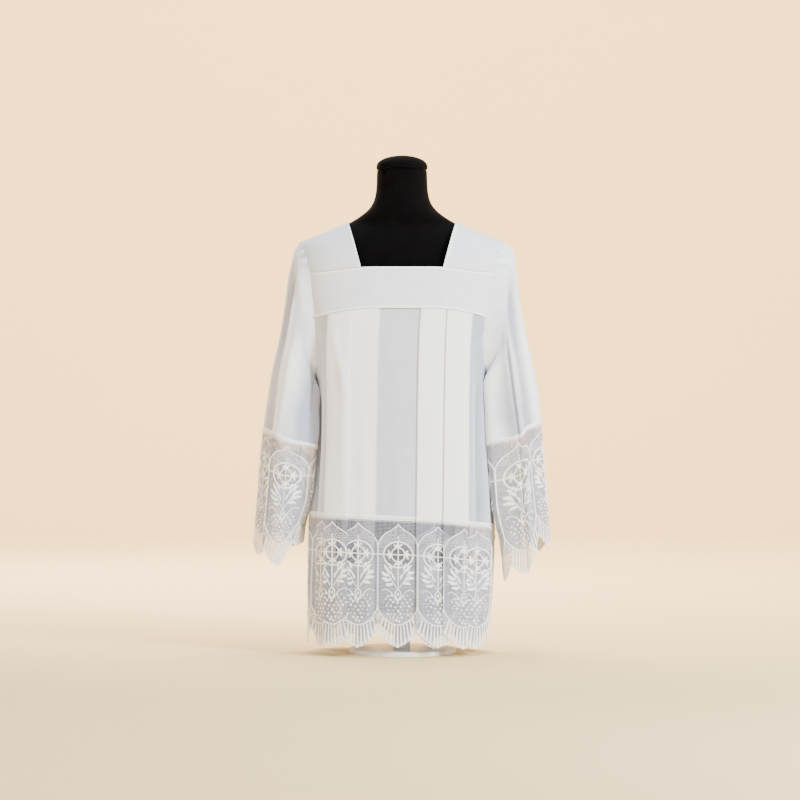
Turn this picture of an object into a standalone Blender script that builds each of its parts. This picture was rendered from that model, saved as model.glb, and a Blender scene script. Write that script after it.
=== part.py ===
# A white square-necked surplice with pleats and lace, on a black table-top dress form.
# Metres, +Z up. The front of the garment faces -Y.
# The origin is on the floor, under the centre of the base.

import math
from collections import namedtuple
from functools import lru_cache

import bmesh
import bpy
import numpy as np

# Cloth
WALL = 0.0012
SEAM_GAP = 0.0003
ARMHOLE_GAP = 0.0014
ROUNDNESS = 2.6

# Heights of the seams
RIDGE_HEIGHT = 0.954
RIDGE_SLOPE = 0.41
FRONT_YOKE_TOP = 0.852
BACK_YOKE_TOP = 0.901
YOKE_BOTTOM = 0.760
ARMPIT_HEIGHT = 0.604
LACE_TOP = 0.300

# Half-widths of the square neck and of the shoulders
NECK_TOP = 0.119
NECK_BOTTOM = 0.090
SHOULDER_TIP = 0.224
SHOULDER_BASE = 0.202

# Raised edges of the yoke
YOKE_OUT = 0.0030
YOKE_RIDGE = 0.0050
TOP_RIDGE_OUT = 0.0018
BOTTOM_RIDGE_OUT = 0.0036
RIDGE_FALL = 0.0015
YOKE_TAPER = 0.10

# The body below the shoulders: a row for each section.
# centre is its shift to the right, left to back are measured from there,
# and armhole is the share of the depth at which the front and back panels end.
Section = namedtuple("Section", "height centre left right front back armhole")
SECTIONS = (
    Section(0.000, -0.016, 0.194, 0.202, 0.142, 0.132, 0.00),
    Section(0.150, -0.015, 0.194, 0.216, 0.134, 0.124, 0.00),
    Section(0.290, -0.014, 0.192, 0.220, 0.127, 0.117, 0.00),
    Section(0.375, -0.013, 0.182, 0.212, 0.123, 0.112, 0.00),
    Section(0.460, -0.012, 0.174, 0.203, 0.120, 0.108, 0.00),
    Section(0.555, -0.011, 0.175, 0.198, 0.117, 0.105, 0.00),
    Section(0.604, -0.010, 0.178, 0.198, 0.115, 0.103, 0.00),
    Section(0.625, -0.010, 0.184, 0.199, 0.114, 0.103, 0.33),
    Section(0.650, -0.009, 0.190, 0.200, 0.113, 0.102, 0.46),
    Section(0.700, -0.008, 0.200, 0.204, 0.111, 0.101, 0.57),
    Section(0.760, -0.004, 0.212, 0.212, 0.108, 0.098, 0.61),
    Section(0.852, 0.000, 0.226, 0.226, 0.100, 0.094, 0.59),
    Section(0.912, 0.000, 0.226, 0.226, 0.100, 0.094, 0.59),
    Section(0.954, 0.000, 0.226, 0.226, 0.100, 0.094, 0.59),
)

# Heights at which the panels and yokes have a row of points
PANEL_HEIGHTS = (0.700, 0.650, 0.625, ARMPIT_HEIGHT, 0.500, 0.400)
YOKE_HEIGHTS = (0.806,)
BACK_YOKE_HEIGHTS = (0.876, FRONT_YOKE_TOP)
FRONT_SHOULDER_STEPS = (0.0, 0.22, 0.44, 0.67, 0.83, 1.0)
BACK_SHOULDER_STEPS = (1.33, 1.67, 2.0)
FIRST_SHOULDER_STEP = 0.003
SHOULDER_SHARES = (0.0, 0.33, 0.67, 1.0)
YOKE_SHARES = (0.0, 0.25, 0.50, 0.75, 0.90, 1.0)

# Pleats, from the centre line to each side: where the fold's edge shows,
# how deep its hidden layers reach, and which way the edge faces
Pleat = namedtuple("Pleat", "edge depth faces_centre")
PLEATS = (
    Pleat(0.045, 0.054, True),
    Pleat(0.103, 0.025, True),
    Pleat(0.157, 0.025, False),
)
PLEAT_PITCH = 0.0022
PLEAT_PITCH_TOP = 0.0017
PITCH_CHANGES_FROM = 0.62
PITCH_CHANGES_OVER = 0.14
LAST_PLEAT_FALL = 0.024
RUN_STEP = 0.042
SIDE_STEPS = 6
SIDE_FOLD_AT = 0.196
SIDE_FOLD_WIDTH = 0.014
SIDE_FOLD_DEPTH = 0.005
SIDE_FOLD_STARTS_OVER = 0.08
HEM_SAG = 0.30

# Lace: one repeat, across and down from its top edge
REPEAT = 0.096
LACE_DEPTH = 0.278
RING_DOWN = 0.077
RING_BAR = 0.0015
INNER_HOLE = 0.0120
INNER_RING = 0.0160
OUTER_HOLE = 0.0250
RING_BOX_WIDTH = 0.030
RING_BOX_HEIGHT = 0.028
FAN_DOWN = 0.235
SCALLOP = ((0.0, 0.278), (0.018, 0.270), (0.036, 0.256), (0.048, 0.243))
QUARTER_REPEATS = 5
HIDDEN_REPEATS = (1,)
SLEEVE_REPEATS = 5

# Sleeves: a row for each ring, from its outer to its inner end, and half its depth from front to back
Ring = namedtuple("Ring", "outer_x outer_z inner_x inner_z depth")
LEFT_SLEEVE = (
    Ring(0.237, 0.890, 0.1925, 0.596, 0.069),
    Ring(0.252, 0.842, 0.1930, 0.579, 0.071),
    Ring(0.263, 0.780, 0.1930, 0.559, 0.075),
    Ring(0.275, 0.709, 0.1930, 0.536, 0.079),
    Ring(0.288, 0.629, 0.1930, 0.509, 0.083),
    Ring(0.299, 0.554, 0.1940, 0.482, 0.086),
    Ring(0.309, 0.490, 0.1965, 0.456, 0.088),
)
RIGHT_SLEEVE = (
    Ring(0.246, 0.890, 0.1930, 0.596, 0.069),
    Ring(0.256, 0.842, 0.1940, 0.579, 0.071),
    Ring(0.265, 0.780, 0.1945, 0.559, 0.075),
    Ring(0.276, 0.709, 0.1950, 0.536, 0.079),
    Ring(0.289, 0.629, 0.1960, 0.512, 0.083),
    Ring(0.300, 0.564, 0.1980, 0.490, 0.086),
    Ring(0.308, 0.504, 0.2020, 0.466, 0.088),
)
LEFT_CUFF = Ring(0.332, 0.256, 0.2180, 0.246, 0.090)
RIGHT_CUFF = Ring(0.331, 0.236, 0.2240, 0.216, 0.090)
CUFF_FRONT_DIP = 0.050
CUFF_BACK_DIP = 0.010
GATHER_HEIGHT = 0.0020
GATHERED_COLUMNS = 5

# Long folds in a sleeve: place round it from the outer edge towards the front, in degrees,
# and the share of the sleeve's length at which each starts
SleeveFold = namedtuple("SleeveFold", "angle depth width starts")
SLEEVE_FOLDS = (
    SleeveFold(40, 0.007, 16, 0.15),
    SleeveFold(112, 0.008, 18, 0.25),
    SleeveFold(235, 0.008, 18, 0.20),
    SleeveFold(315, 0.006, 16, 0.15),
)
FOLD_STARTS_OVER = 0.3

# Dress form: a row for each ring
FormRing = namedtuple("FormRing", "height width front back power")
FORM_RINGS = (
    FormRing(1.0720, 0.0565, 0.056, 0.056, 2.0),
    FormRing(1.0250, 0.0570, 0.057, 0.057, 2.0),
    FormRing(0.9980, 0.0630, 0.060, 0.060, 2.0),
    FormRing(0.9800, 0.0770, 0.062, 0.062, 2.0),
    FormRing(0.9660, 0.0960, 0.060, 0.060, 2.0),
    FormRing(0.9520, 0.1182, 0.050, 0.050, 2.0),
    FormRing(0.9360, 0.1570, 0.060, 0.058, 2.0),
    FormRing(0.9200, 0.1950, 0.069, 0.065, 2.0),
    FormRing(0.9080, 0.2070, 0.076, 0.072, 2.0),
    FormRing(0.8900, 0.2100, 0.084, 0.079, 2.0),
    FormRing(0.8600, 0.2010, 0.090, 0.085, 2.1),
    FormRing(0.8000, 0.1850, 0.096, 0.086, 2.3),
    FormRing(0.7200, 0.1710, 0.100, 0.084, 2.4),
    FormRing(0.6400, 0.1560, 0.094, 0.080, 2.4),
    FormRing(0.5600, 0.1420, 0.084, 0.076, 2.4),
    FormRing(0.4700, 0.1560, 0.093, 0.090, 2.4),
    FormRing(0.3900, 0.1590, 0.094, 0.093, 2.4),
    FormRing(0.2800, 0.1530, 0.089, 0.090, 2.4),
    FormRing(0.1700, 0.1430, 0.083, 0.085, 2.4),
    FormRing(0.1020, 0.1370, 0.079, 0.081, 2.4),
    FormRing(0.0940, 0.1310, 0.073, 0.075, 2.4),
    FormRing(0.0910, 0.1180, 0.062, 0.064, 2.4),
)
FORM_SIDES = 24
CAP_RADIUS = 0.0568
CAP_BOTTOM = 1.0723
CAP_RIM = 1.0790
CAP_TOP = 1.1030
POST_RADIUS = 0.018
BASE_RADIUS = 0.120
BASE_THICKNESS = 0.010
BASE_EDGE = 0.004

WHITE_CLOTH = ("white cloth", (0.86, 0.88, 0.90), 0.75, 0.0)
WHITE_LACE = ("white lace", (0.88, 0.89, 0.92), 0.80, 0.0)
BLACK_JERSEY = ("black jersey", (0.010, 0.008, 0.009), 0.80, 0.0)
WHITE_METAL = ("white enamelled metal", (0.80, 0.80, 0.79), 0.40, 0.0)


def clear_scene():
    for item in list(bpy.data.objects):
        bpy.data.objects.remove(item, do_unlink=True)


def make_material(finish):
    name, colour, roughness, metallic = finish
    material = bpy.data.materials.get(name) or bpy.data.materials.new(name)
    material.use_nodes = True
    shader = material.node_tree.nodes["Principled BSDF"]
    shader.inputs["Base Color"].default_value = (*colour, 1.0)
    shader.inputs["Roughness"].default_value = roughness
    shader.inputs["Metallic"].default_value = metallic
    return material


def add_object(name, mesh, finish, collection):
    item = bpy.data.objects.new(name, mesh)
    collection.objects.link(item)
    mesh.materials.clear()
    mesh.materials.append(make_material(finish))
    mesh.shade_smooth()
    mesh.set_sharp_from_angle(angle=math.radians(40))
    return item


def closed_mesh(name, points, faces):
    mesh = bpy.data.meshes.new(name)
    mesh.from_pydata([tuple(point) for point in points], [], faces)
    shape = bmesh.new()
    shape.from_mesh(mesh)
    bmesh.ops.recalc_face_normals(shape, faces=shape.faces)
    shape.to_mesh(mesh)
    shape.free()
    return mesh


def wall_mesh(name, outer, inner, faces):
    # Two matching skins, joined by a strip along every open edge.
    shift = len(outer)
    uses = {}
    for face in faces:
        for start, end in zip(face, face[1:] + face[:1]):
            uses.setdefault(frozenset((start, end)), []).append((start, end))
    walls = list(faces) + [tuple(index + shift for index in reversed(face)) for face in faces]
    for ways in uses.values():
        if len(ways) == 1:
            start, end = ways[0]
            walls.append((end, start, start + shift, end + shift))
    return closed_mesh(name, list(outer) + list(inner), walls)


def grid_faces(rows, columns, closed=False):
    last = columns if closed else columns - 1
    return [
        (
            row * columns + column,
            row * columns + (column + 1) % columns,
            (row + 1) * columns + (column + 1) % columns,
            (row + 1) * columns + column,
        )
        for row in range(rows - 1)
        for column in range(last)
    ]


def grid_wall(name, rows, finish, collection):
    # Each row is a list of (point on the outer skin, point on the inner skin).
    outer = [pair[0] for row in rows for pair in row]
    inner = [pair[1] for row in rows for pair in row]
    mesh = wall_mesh(name, outer, inner, grid_faces(len(rows), len(rows[0])))
    return add_object(name, mesh, finish, collection)


def smooth_step(value):
    value = min(max(value, 0.0), 1.0)
    return value * value * (3 - 2 * value)


def section_at(height):
    heights = [row.height for row in SECTIONS]
    return Section(*(
        float(np.interp(height, heights, [row[column] for row in SECTIONS]))
        for column in range(len(Section._fields))
    ))


@lru_cache(maxsize=None)
def quarter_curve(height, right, front):
    # A quarter of a section, from the centre line to the side seam, and the length along it.
    section = section_at(height)
    width = section.right if right else section.left
    depth = section.front if front else section.back
    turn = np.linspace(math.pi / 2, 0.0, 400)
    across = width * np.cos(turn).clip(0, 1) ** (2 / ROUNDNESS)
    out = depth * np.sin(turn) ** (2 / ROUNDNESS)
    along = np.concatenate([[0.0], np.cumsum(np.hypot(np.diff(across), np.diff(out)))])
    return along, across, out


def curve_end(height, right, front):
    # Where a panel ends: at the armhole, or at the side seam under it.
    along, _, out = quarter_curve(height, right, front)
    share = section_at(height).armhole
    return float(np.interp(-share * out[0], -out, along))


def hem_sag(x, height):
    return -HEM_SAG * max(x, 0.0) ** 2 * smooth_step((ARMPIT_HEIGHT - height) / LACE_TOP)


def on_body(height, right, front, along, out, offset=(0.0, 0.0)):
    # The point that far along a quarter and that far out of it; offset is added along and out.
    lengths, across, depth = quarter_curve(height, right, front)
    step = 0.0008
    low, high = max(along - step, 0.0), min(along + step, lengths[-1])
    tangent = np.array([
        np.interp(high, lengths, across) - np.interp(low, lengths, across),
        np.interp(high, lengths, depth) - np.interp(low, lengths, depth),
    ])
    tangent /= np.linalg.norm(tangent)
    if along <= step:
        tangent = np.array([1.0, 0.0])
    elif along >= lengths[-1] - step:
        tangent = np.array([0.0, -1.0])
    normal = np.array([-tangent[1], tangent[0]])
    flat = np.array([np.interp(along, lengths, across), np.interp(along, lengths, depth)])
    flat = flat + normal * (out + offset[1]) + tangent * offset[0]
    x = section_at(height).centre + (flat[0] if right else -flat[0])
    y = -flat[1] if front else flat[1]
    return (x, y, height + hem_sag(x, height))


def pleat_pitch(height):
    change = smooth_step((height - PITCH_CHANGES_FROM) / PITCH_CHANGES_OVER)
    return PLEAT_PITCH + (PLEAT_PITCH_TOP - PLEAT_PITCH) * change


def side_fall(along, height, pitch):
    # How far the cloth beside the last pleat stands out, with one soft fold down the side.
    fall = 2 * pitch * (1 - smooth_step((along - PLEATS[-1].edge) / LAST_PLEAT_FALL))
    fold = SIDE_FOLD_DEPTH * math.exp(-((along - SIDE_FOLD_AT) / SIDE_FOLD_WIDTH) ** 2)
    return fall - fold * smooth_step((ARMPIT_HEIGHT - height) / SIDE_FOLD_STARTS_OVER)


def pleat_corners(height, end):
    # The cloth from the centre line to its end: (along, out) at each corner and between corners.
    pitch = pleat_pitch(height)
    level = 0.0
    place = 0.0
    path = [(0.0, 0.0)]

    def run_to(target):
        nonlocal place
        steps = max(1, round(abs(target - place) / RUN_STEP))
        path.extend((place + (target - place) * step / steps, level) for step in range(1, steps + 1))
        place = target

    for pleat in PLEATS:
        rise = pitch if pleat.faces_centre else -pitch
        far = pleat.edge + pleat.depth if pleat.faces_centre else pleat.edge
        near = pleat.edge if pleat.faces_centre else pleat.edge - pleat.depth
        run_to(far)
        level += rise
        path.append((far, level))
        run_to(near)
        level += rise
        path.append((near, level))
    last = PLEATS[-1].edge
    fall_places = [last, last + LAST_PLEAT_FALL / 2, last + LAST_PLEAT_FALL]
    fall_places += [
        fall_places[-1] + (end - fall_places[-1]) * step / SIDE_STEPS for step in range(1, SIDE_STEPS + 1)
    ]
    path.extend((along, side_fall(along, height, pitch)) for along in fall_places)
    return path


def mitres(path):
    # At each point of a path, the step from the middle of the wall to its outer skin, for a wall of 1.
    steps = []
    for index, point in enumerate(path):
        normals = []
        for first, second in ((index - 1, index), (index, index + 1)):
            if first < 0 or second >= len(path):
                continue
            along = path[second][0] - path[first][0]
            out = path[second][1] - path[first][1]
            length = math.hypot(along, out)
            normals.append((-out / length, along / length))
        mean = np.sum(normals, axis=0) / len(normals)
        steps.append(mean / (mean @ mean) / 2)
    return steps


def panel_row(height, front):
    # One row of a pleated panel, from its left end to its right end.
    row = []
    for right in (False, True):
        path = pleat_corners(height, curve_end(height, right, front) - SEAM_GAP / 2)
        half = []
        for (along, out), step in zip(path, mitres(path)):
            outer, inner = (
                on_body(height, right, front, along, out, step * WALL * way) for way in (1, -1)
            )
            half.append((outer, inner))
        row = row + half[1:] if right else half[::-1]
    return row


def make_panel(name, front, collection):
    heights = (YOKE_BOTTOM - SEAM_GAP, *PANEL_HEIGHTS, LACE_TOP + SEAM_GAP / 2)
    rows = [panel_row(height, front) for height in heights]
    return grid_wall(name, rows, WHITE_CLOTH, collection)


def ridge_height(across):
    return RIDGE_HEIGHT - RIDGE_SLOPE * (across - NECK_TOP)


def arch_point(across, turn, right, front, out=0.0, level=False):
    # At each distance from the centre the shoulder is an arch over the form, from front to back.
    # A level point keeps its height when it moves out.
    along, widths, depths = quarter_curve(FRONT_YOKE_TOP, right, front)
    depth = float(np.interp(across, widths, depths))
    rise = ridge_height(across) - FRONT_YOKE_TOP
    y = depth * math.cos(turn)
    z = FRONT_YOKE_TOP + rise * math.sin(turn)
    slope = 0.004
    deeper = float(np.interp(across + slope, widths, depths)) * math.cos(turn)
    higher = FRONT_YOKE_TOP + (rise - RIDGE_SLOPE * slope) * math.sin(turn)
    normal = np.cross(
        [0.0, -depth * math.sin(turn), rise * math.cos(turn)],
        [slope, deeper - y, higher - z],
    )
    if level:
        normal[2] = 0.0
    normal /= np.linalg.norm(normal)
    place = np.array([across, y, z]) + normal * out
    x = section_at(place[2]).centre + (place[0] if right else -place[0])
    return (x, -place[1] if front else place[1], place[2])


def shoulder_edges(turn):
    lift = math.sin(turn)
    neck = NECK_BOTTOM + (NECK_TOP - NECK_BOTTOM) * lift
    arm = SHOULDER_BASE + (SHOULDER_TIP - SHOULDER_BASE) * lift
    return neck, arm


def shoulder_place(share, step):
    # How far from the centre and round the arch: step runs 0 to 1 up the front and 1 to 2 down the back.
    if step <= 1:
        neck, arm = shoulder_edges(step * math.pi / 2)
        return neck + (arm - neck) * share, step * math.pi / 2, True
    low, high = 0.0, math.pi / 2
    for _ in range(30):
        turn = (low + high) / 2
        neck, arm = shoulder_edges(turn)
        across = neck + (arm - neck) * share
        reached = FRONT_YOKE_TOP + (ridge_height(across) - FRONT_YOKE_TOP) * math.sin(turn)
        low, high = (turn, high) if reached < BACK_YOKE_TOP + SEAM_GAP else (low, turn)
    turn = math.pi / 2 + (high - math.pi / 2) * (step - 1)
    neck, arm = shoulder_edges(turn)
    return neck + (arm - neck) * share, turn, False


def make_shoulder(name, right, collection):
    rows = []
    for step in FRONT_SHOULDER_STEPS + BACK_SHOULDER_STEPS:
        row = []
        for share in SHOULDER_SHARES:
            across, turn, front = shoulder_place(share, max(step, FIRST_SHOULDER_STEP))
            outer, inner = (
                arch_point(across, turn, right, front, WALL / 2 * way, level=step == 2)
                for way in (1, -1)
            )
            row.append((outer, inner))
        rows.append(row)
    return grid_wall(name, rows, WHITE_CLOTH, collection)


def yoke_end(height):
    # Half the width of a yoke at a height, up to its armholes.
    if height <= FRONT_YOKE_TOP:
        along, across, _ = quarter_curve(height, True, True)
        return float(np.interp(curve_end(height, True, True), along, across))
    across = SHOULDER_BASE
    for _ in range(20):
        lift = (height - FRONT_YOKE_TOP) / (ridge_height(across) - FRONT_YOKE_TOP)
        across = SHOULDER_BASE + (SHOULDER_TIP - SHOULDER_BASE) * lift
    return across


def yoke_point(across, height, right, front, out):
    if height <= FRONT_YOKE_TOP:
        along, widths, _ = quarter_curve(height, right, front)
        return on_body(height, right, front, float(np.interp(across, widths, along)), out)
    lift = (height - FRONT_YOKE_TOP) / (ridge_height(across) - FRONT_YOKE_TOP)
    return arch_point(across, math.asin(lift), right, front, out, level=True)


def make_yoke(name, front, collection):
    top = FRONT_YOKE_TOP - SEAM_GAP if front else BACK_YOKE_TOP
    middle = YOKE_HEIGHTS if front else BACK_YOKE_HEIGHTS + YOKE_HEIGHTS
    bottom = YOKE_BOTTOM + SEAM_GAP
    profile = [
        (top, TOP_RIDGE_OUT),
        (top - YOKE_RIDGE, TOP_RIDGE_OUT),
        (top - YOKE_RIDGE - RIDGE_FALL, 0.0),
        *((height, 0.0) for height in middle),
        (bottom + YOKE_RIDGE + RIDGE_FALL, 0.0),
        (bottom + YOKE_RIDGE, BOTTOM_RIDGE_OUT),
        (bottom, BOTTOM_RIDGE_OUT),
    ]
    places = [(False, share) for share in YOKE_SHARES[:0:-1]]
    places += [(True, share) for share in YOKE_SHARES]
    rows = []
    for height, ridge in profile:
        end = yoke_end(height)
        lift = YOKE_OUT * smooth_step((FRONT_YOKE_TOP - height) / (FRONT_YOKE_TOP - YOKE_BOTTOM))
        row = []
        for right, share in places:
            taper = smooth_step((1 - share) / YOKE_TAPER)
            outward = lift * taper + WALL / 2 + ridge * taper
            inward = lift * taper - WALL / 2
            outer = yoke_point(end * share, height, right, front, outward)
            inner = yoke_point(end * share, height, right, front, inward)
            row.append((outer, inner))
        rows.append(row)
    return grid_wall(name, rows, WHITE_CLOTH, collection)


def armhole_edge(right, front):
    # The edge of the armhole, from the shoulder tip or the next point to the armpit.
    steps = FRONT_SHOULDER_STEPS[::-1] if front else BACK_SHOULDER_STEPS
    edge = []
    for step in steps:
        across, turn, _ = shoulder_place(1.0, step)
        edge.append(arch_point(across, turn, right, front))
    heights = () if front else BACK_YOKE_HEIGHTS
    heights += YOKE_HEIGHTS + (YOKE_BOTTOM,)
    heights += tuple(height for height in PANEL_HEIGHTS if height >= ARMPIT_HEIGHT)
    for height in heights:
        if height > FRONT_YOKE_TOP:
            edge.append(yoke_point(yoke_end(height), height, right, front, 0.0))
        else:
            edge.append(on_body(height, right, front, curve_end(height, right, front), 0.0))
    return [np.array(point) for point in edge]


def armhole_loop(right):
    # The whole armhole, from the shoulder tip down the front and up the back,
    # and the turn round it of each point.
    front = armhole_edge(right, True)
    back = armhole_edge(right, False)
    turns = []
    for edge in (front, [front[0]] + back):
        lengths = np.cumsum([0.0] + [np.linalg.norm(b - a) for a, b in zip(edge, edge[1:])])
        turns.append(lengths / lengths[-1] * math.pi)
    points = front + back[-2::-1]
    angles = list(turns[0]) + [2 * math.pi - turn for turn in turns[1][-2:0:-1]]
    away = np.array([ARMHOLE_GAP if right else -ARMHOLE_GAP, 0.0, 0.0])
    return [point + away for point in points], angles


def mix(first, second, share):
    return Ring(*(a + (b - a) * share for a, b in zip(first, second)))


def fold_depth(turn, down):
    # How far the long folds draw a sleeve in, at a turn round it and a share of its length.
    depth = 0.0
    for fold in SLEEVE_FOLDS:
        apart = (math.degrees(turn) - fold.angle + 180) % 360 - 180
        reach = smooth_step((down - fold.starts) / FOLD_STARTS_OVER)
        depth += fold.depth * math.exp(-(apart / fold.width) ** 2) * reach
    return depth


def ring_point(ring, right, turn, down, dip=0.0):
    # A point of a sleeve's ring; turn 0 is its outer end and a quarter turn is its front.
    outer = np.array([ring.outer_x, 0.0, ring.outer_z])
    inner = np.array([ring.inner_x, 0.0, ring.inner_z])
    middle, reach = (outer + inner) / 2, (outer - inner) / 2
    round_it = math.cos(turn) * reach + math.sin(turn) * np.array([0.0, -ring.depth, 0.0])
    shrink = 1 - fold_depth(turn, down) / np.linalg.norm(round_it)
    point = middle + round_it * shrink
    facing = math.sin(turn)
    point[2] -= dip * (CUFF_FRONT_DIP * max(facing, 0.0) + CUFF_BACK_DIP * max(-facing, 0.0))
    return point * np.array([1.0 if right else -1.0, 1.0, 1.0])


def grid_normals(rows):
    # Normals of a tube of rings, pointing away from its middle.
    grid = np.array(rows)
    around = np.roll(grid, -1, axis=1) - np.roll(grid, 1, axis=1)
    down = np.gradient(grid, axis=0)
    normals = np.cross(around, down)
    normals /= np.linalg.norm(normals, axis=2, keepdims=True)
    outward = grid - grid.mean(axis=1, keepdims=True)
    flip = np.sign((normals * outward).sum(axis=(1, 2)))
    return grid, normals * flip[:, None, None]


def make_sleeve(name, right, collection):
    table = RIGHT_SLEEVE if right else LEFT_SLEEVE
    loop, turns = armhole_loop(right)
    rows = [loop]
    for index, ring in enumerate(table):
        down = (index + 1) / len(table)
        row = [ring_point(ring, right, turn, down) for turn in turns]
        if index == 0:
            for column in range(-GATHERED_COLUMNS, GATHERED_COLUMNS + 1):
                lift = GATHER_HEIGHT if column % 2 else -GATHER_HEIGHT
                row[column] = row[column] + np.array([0.0, 0.0, lift])
        rows.append(row)
    rows[-1] = [point + np.array([0.0, 0.0, SEAM_GAP]) for point in rows[-1]]
    grid, normals = grid_normals(rows)
    outer = (grid + normals * WALL / 2).reshape(-1, 3)
    inner = (grid - normals * WALL / 2).reshape(-1, 3)
    mesh = wall_mesh(name, outer, inner, grid_faces(len(rows), len(turns), closed=True))
    return add_object(name, mesh, WHITE_CLOTH, collection)


def shifted(middle, *points):
    return [(middle + x, down) for x, down in points]


def ring_face(middle, points):
    return shifted(middle, *((x, RING_DOWN + down) for x, down in points))


def scallop_faces(middle):
    # The fan under a repeat, down to its scalloped edge.
    half = REPEAT / 2
    edge = [(-x, down) for x, down in SCALLOP[:0:-1]] + list(SCALLOP)
    rim = [(-half, FAN_DOWN)] + edge + [(half, FAN_DOWN)]
    hub = (0.0, FAN_DOWN)
    return [shifted(middle, hub, first, second) for first, second in zip(rim, rim[1:])]


def plain_repeat(middle):
    half = REPEAT / 2
    downs = (0.0, RING_DOWN - RING_BOX_HEIGHT, RING_DOWN + RING_BOX_HEIGHT, FAN_DOWN)
    faces = []
    for top, bottom in zip(downs, downs[1:]):
        for left, right in ((-half, 0.0), (0.0, half)):
            faces.append(shifted(middle, (left, top), (right, top), (right, bottom), (left, bottom)))
    return faces + scallop_faces(middle)


def ring_repeat(middle):
    # A repeat whose double ring is open in four places between the rings
    # and in four places inside the inner one.
    half, box, tall, bar = REPEAT / 2, RING_BOX_WIDTH, RING_BOX_HEIGHT, RING_BAR
    stops = [bar] + [math.sqrt(radius**2 - bar**2) for radius in (INNER_HOLE, INNER_RING, OUTER_HOLE)]
    sideways, upright = stops + [box], stops + [tall]
    faces = [ring_face(middle, ((-bar, -bar), (bar, -bar), (bar, bar), (-bar, bar)))]
    for way in (-1, 1):
        for near, far in zip(sideways, sideways[1:]):
            corners = ((near * way, -bar), (far * way, -bar), (far * way, bar), (near * way, bar))
            faces.append(ring_face(middle, corners))
        for near, far in zip(upright, upright[1:]):
            corners = ((-bar, near * way), (bar, near * way), (bar, far * way), (-bar, far * way))
            faces.append(ring_face(middle, corners))
    for side in (-1, 1):
        for way in (-1, 1):
            inner, ring, outer = (
                (
                    (side * math.sqrt(radius**2 - bar**2), way * bar),
                    (side * radius * math.sqrt(0.5), way * radius * math.sqrt(0.5)),
                    (side * bar, way * math.sqrt(radius**2 - bar**2)),
                )
                for radius in (INNER_HOLE, INNER_RING, OUTER_HOLE)
            )
            frame = ((side * box, way * bar), (side * box, way * tall), (side * bar, way * tall))
            for near, far in ((inner, ring), (outer, frame)):
                for first in (0, 1):
                    corners = (near[first], far[first], far[first + 1], near[first + 1])
                    faces.append(ring_face(middle, corners))
    for side in (-1, 1):
        edge, post = side * half, side * box
        top, bottom = RING_DOWN - tall, RING_DOWN + tall
        above, below = RING_DOWN - bar, RING_DOWN + bar
        faces.append(shifted(middle, (edge, top), (post, top), (post, above)))
        faces.append(shifted(middle, (edge, top), (post, above), (post, below), (edge, bottom)))
        faces.append(shifted(middle, (edge, bottom), (post, below), (post, bottom)))
        for near, far in ((top, 0.0), (bottom, FAN_DOWN)):
            faces.append(shifted(middle, (edge, far), (post, near), (edge, near)))
            faces.append(shifted(middle, (edge, far), (side * bar, near), (post, near)))
            faces.append(shifted(middle, (edge, far), (0.0, far), (side * bar, near)))
    for near, far in ((RING_DOWN - tall, 0.0), (RING_DOWN + tall, FAN_DOWN)):
        faces.append(shifted(middle, (0.0, far), (bar, near), (-bar, near)))
    return faces + scallop_faces(middle)


def flat_lace(repeats, first, last, cuts):
    # The lace laid flat, trimmed to its two ends and cut along the lines where it will fold.
    shape = bmesh.new()
    for index in repeats:
        make = plain_repeat if abs(index) in HIDDEN_REPEATS and cuts else ring_repeat
        for face in make(index * REPEAT):
            shape.faces.new([shape.verts.new((x, -down, 0.0)) for x, down in face])
    bmesh.ops.remove_doubles(shape, verts=shape.verts, dist=1e-6)
    for place in cuts:
        bmesh.ops.bisect_plane(
            shape,
            geom=shape.verts[:] + shape.edges[:] + shape.faces[:],
            dist=1e-6,
            plane_co=(place, 0.0, 0.0),
            plane_no=(1.0, 0.0, 0.0),
        )
    for place, way in ((first, -1.0), (last, 1.0)):
        bmesh.ops.bisect_plane(
            shape,
            geom=shape.verts[:] + shape.edges[:] + shape.faces[:],
            dist=1e-6,
            plane_co=(place, 0.0, 0.0),
            plane_no=(way, 0.0, 0.0),
            clear_outer=True,
        )
    bmesh.ops.triangulate(shape, faces=shape.faces)
    shape.verts.index_update()
    points = [(vert.co.x, -vert.co.y) for vert in shape.verts]
    faces = [tuple(vert.index for vert in face.verts) for face in shape.faces]
    shape.free()
    return points, faces


def path_lengths(path):
    return np.cumsum([0.0] + [math.dist(a, b) for a, b in zip(path, path[1:])])


@lru_cache(maxsize=None)
def fold_places():
    # Along the flat lace, the places of the edges of its pleats, the same at every height.
    path = pleat_corners(LACE_TOP, QUARTER_REPEATS * REPEAT)
    lengths = path_lengths(path)
    places = []
    for index in range(1, len(path) - 1):
        before = path[index][0] - path[index - 1][0]
        after = path[index + 1][0] - path[index][0]
        if abs(before) < 1e-9 or abs(after) < 1e-9:
            places.append(float(lengths[index]))
    return places


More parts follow.
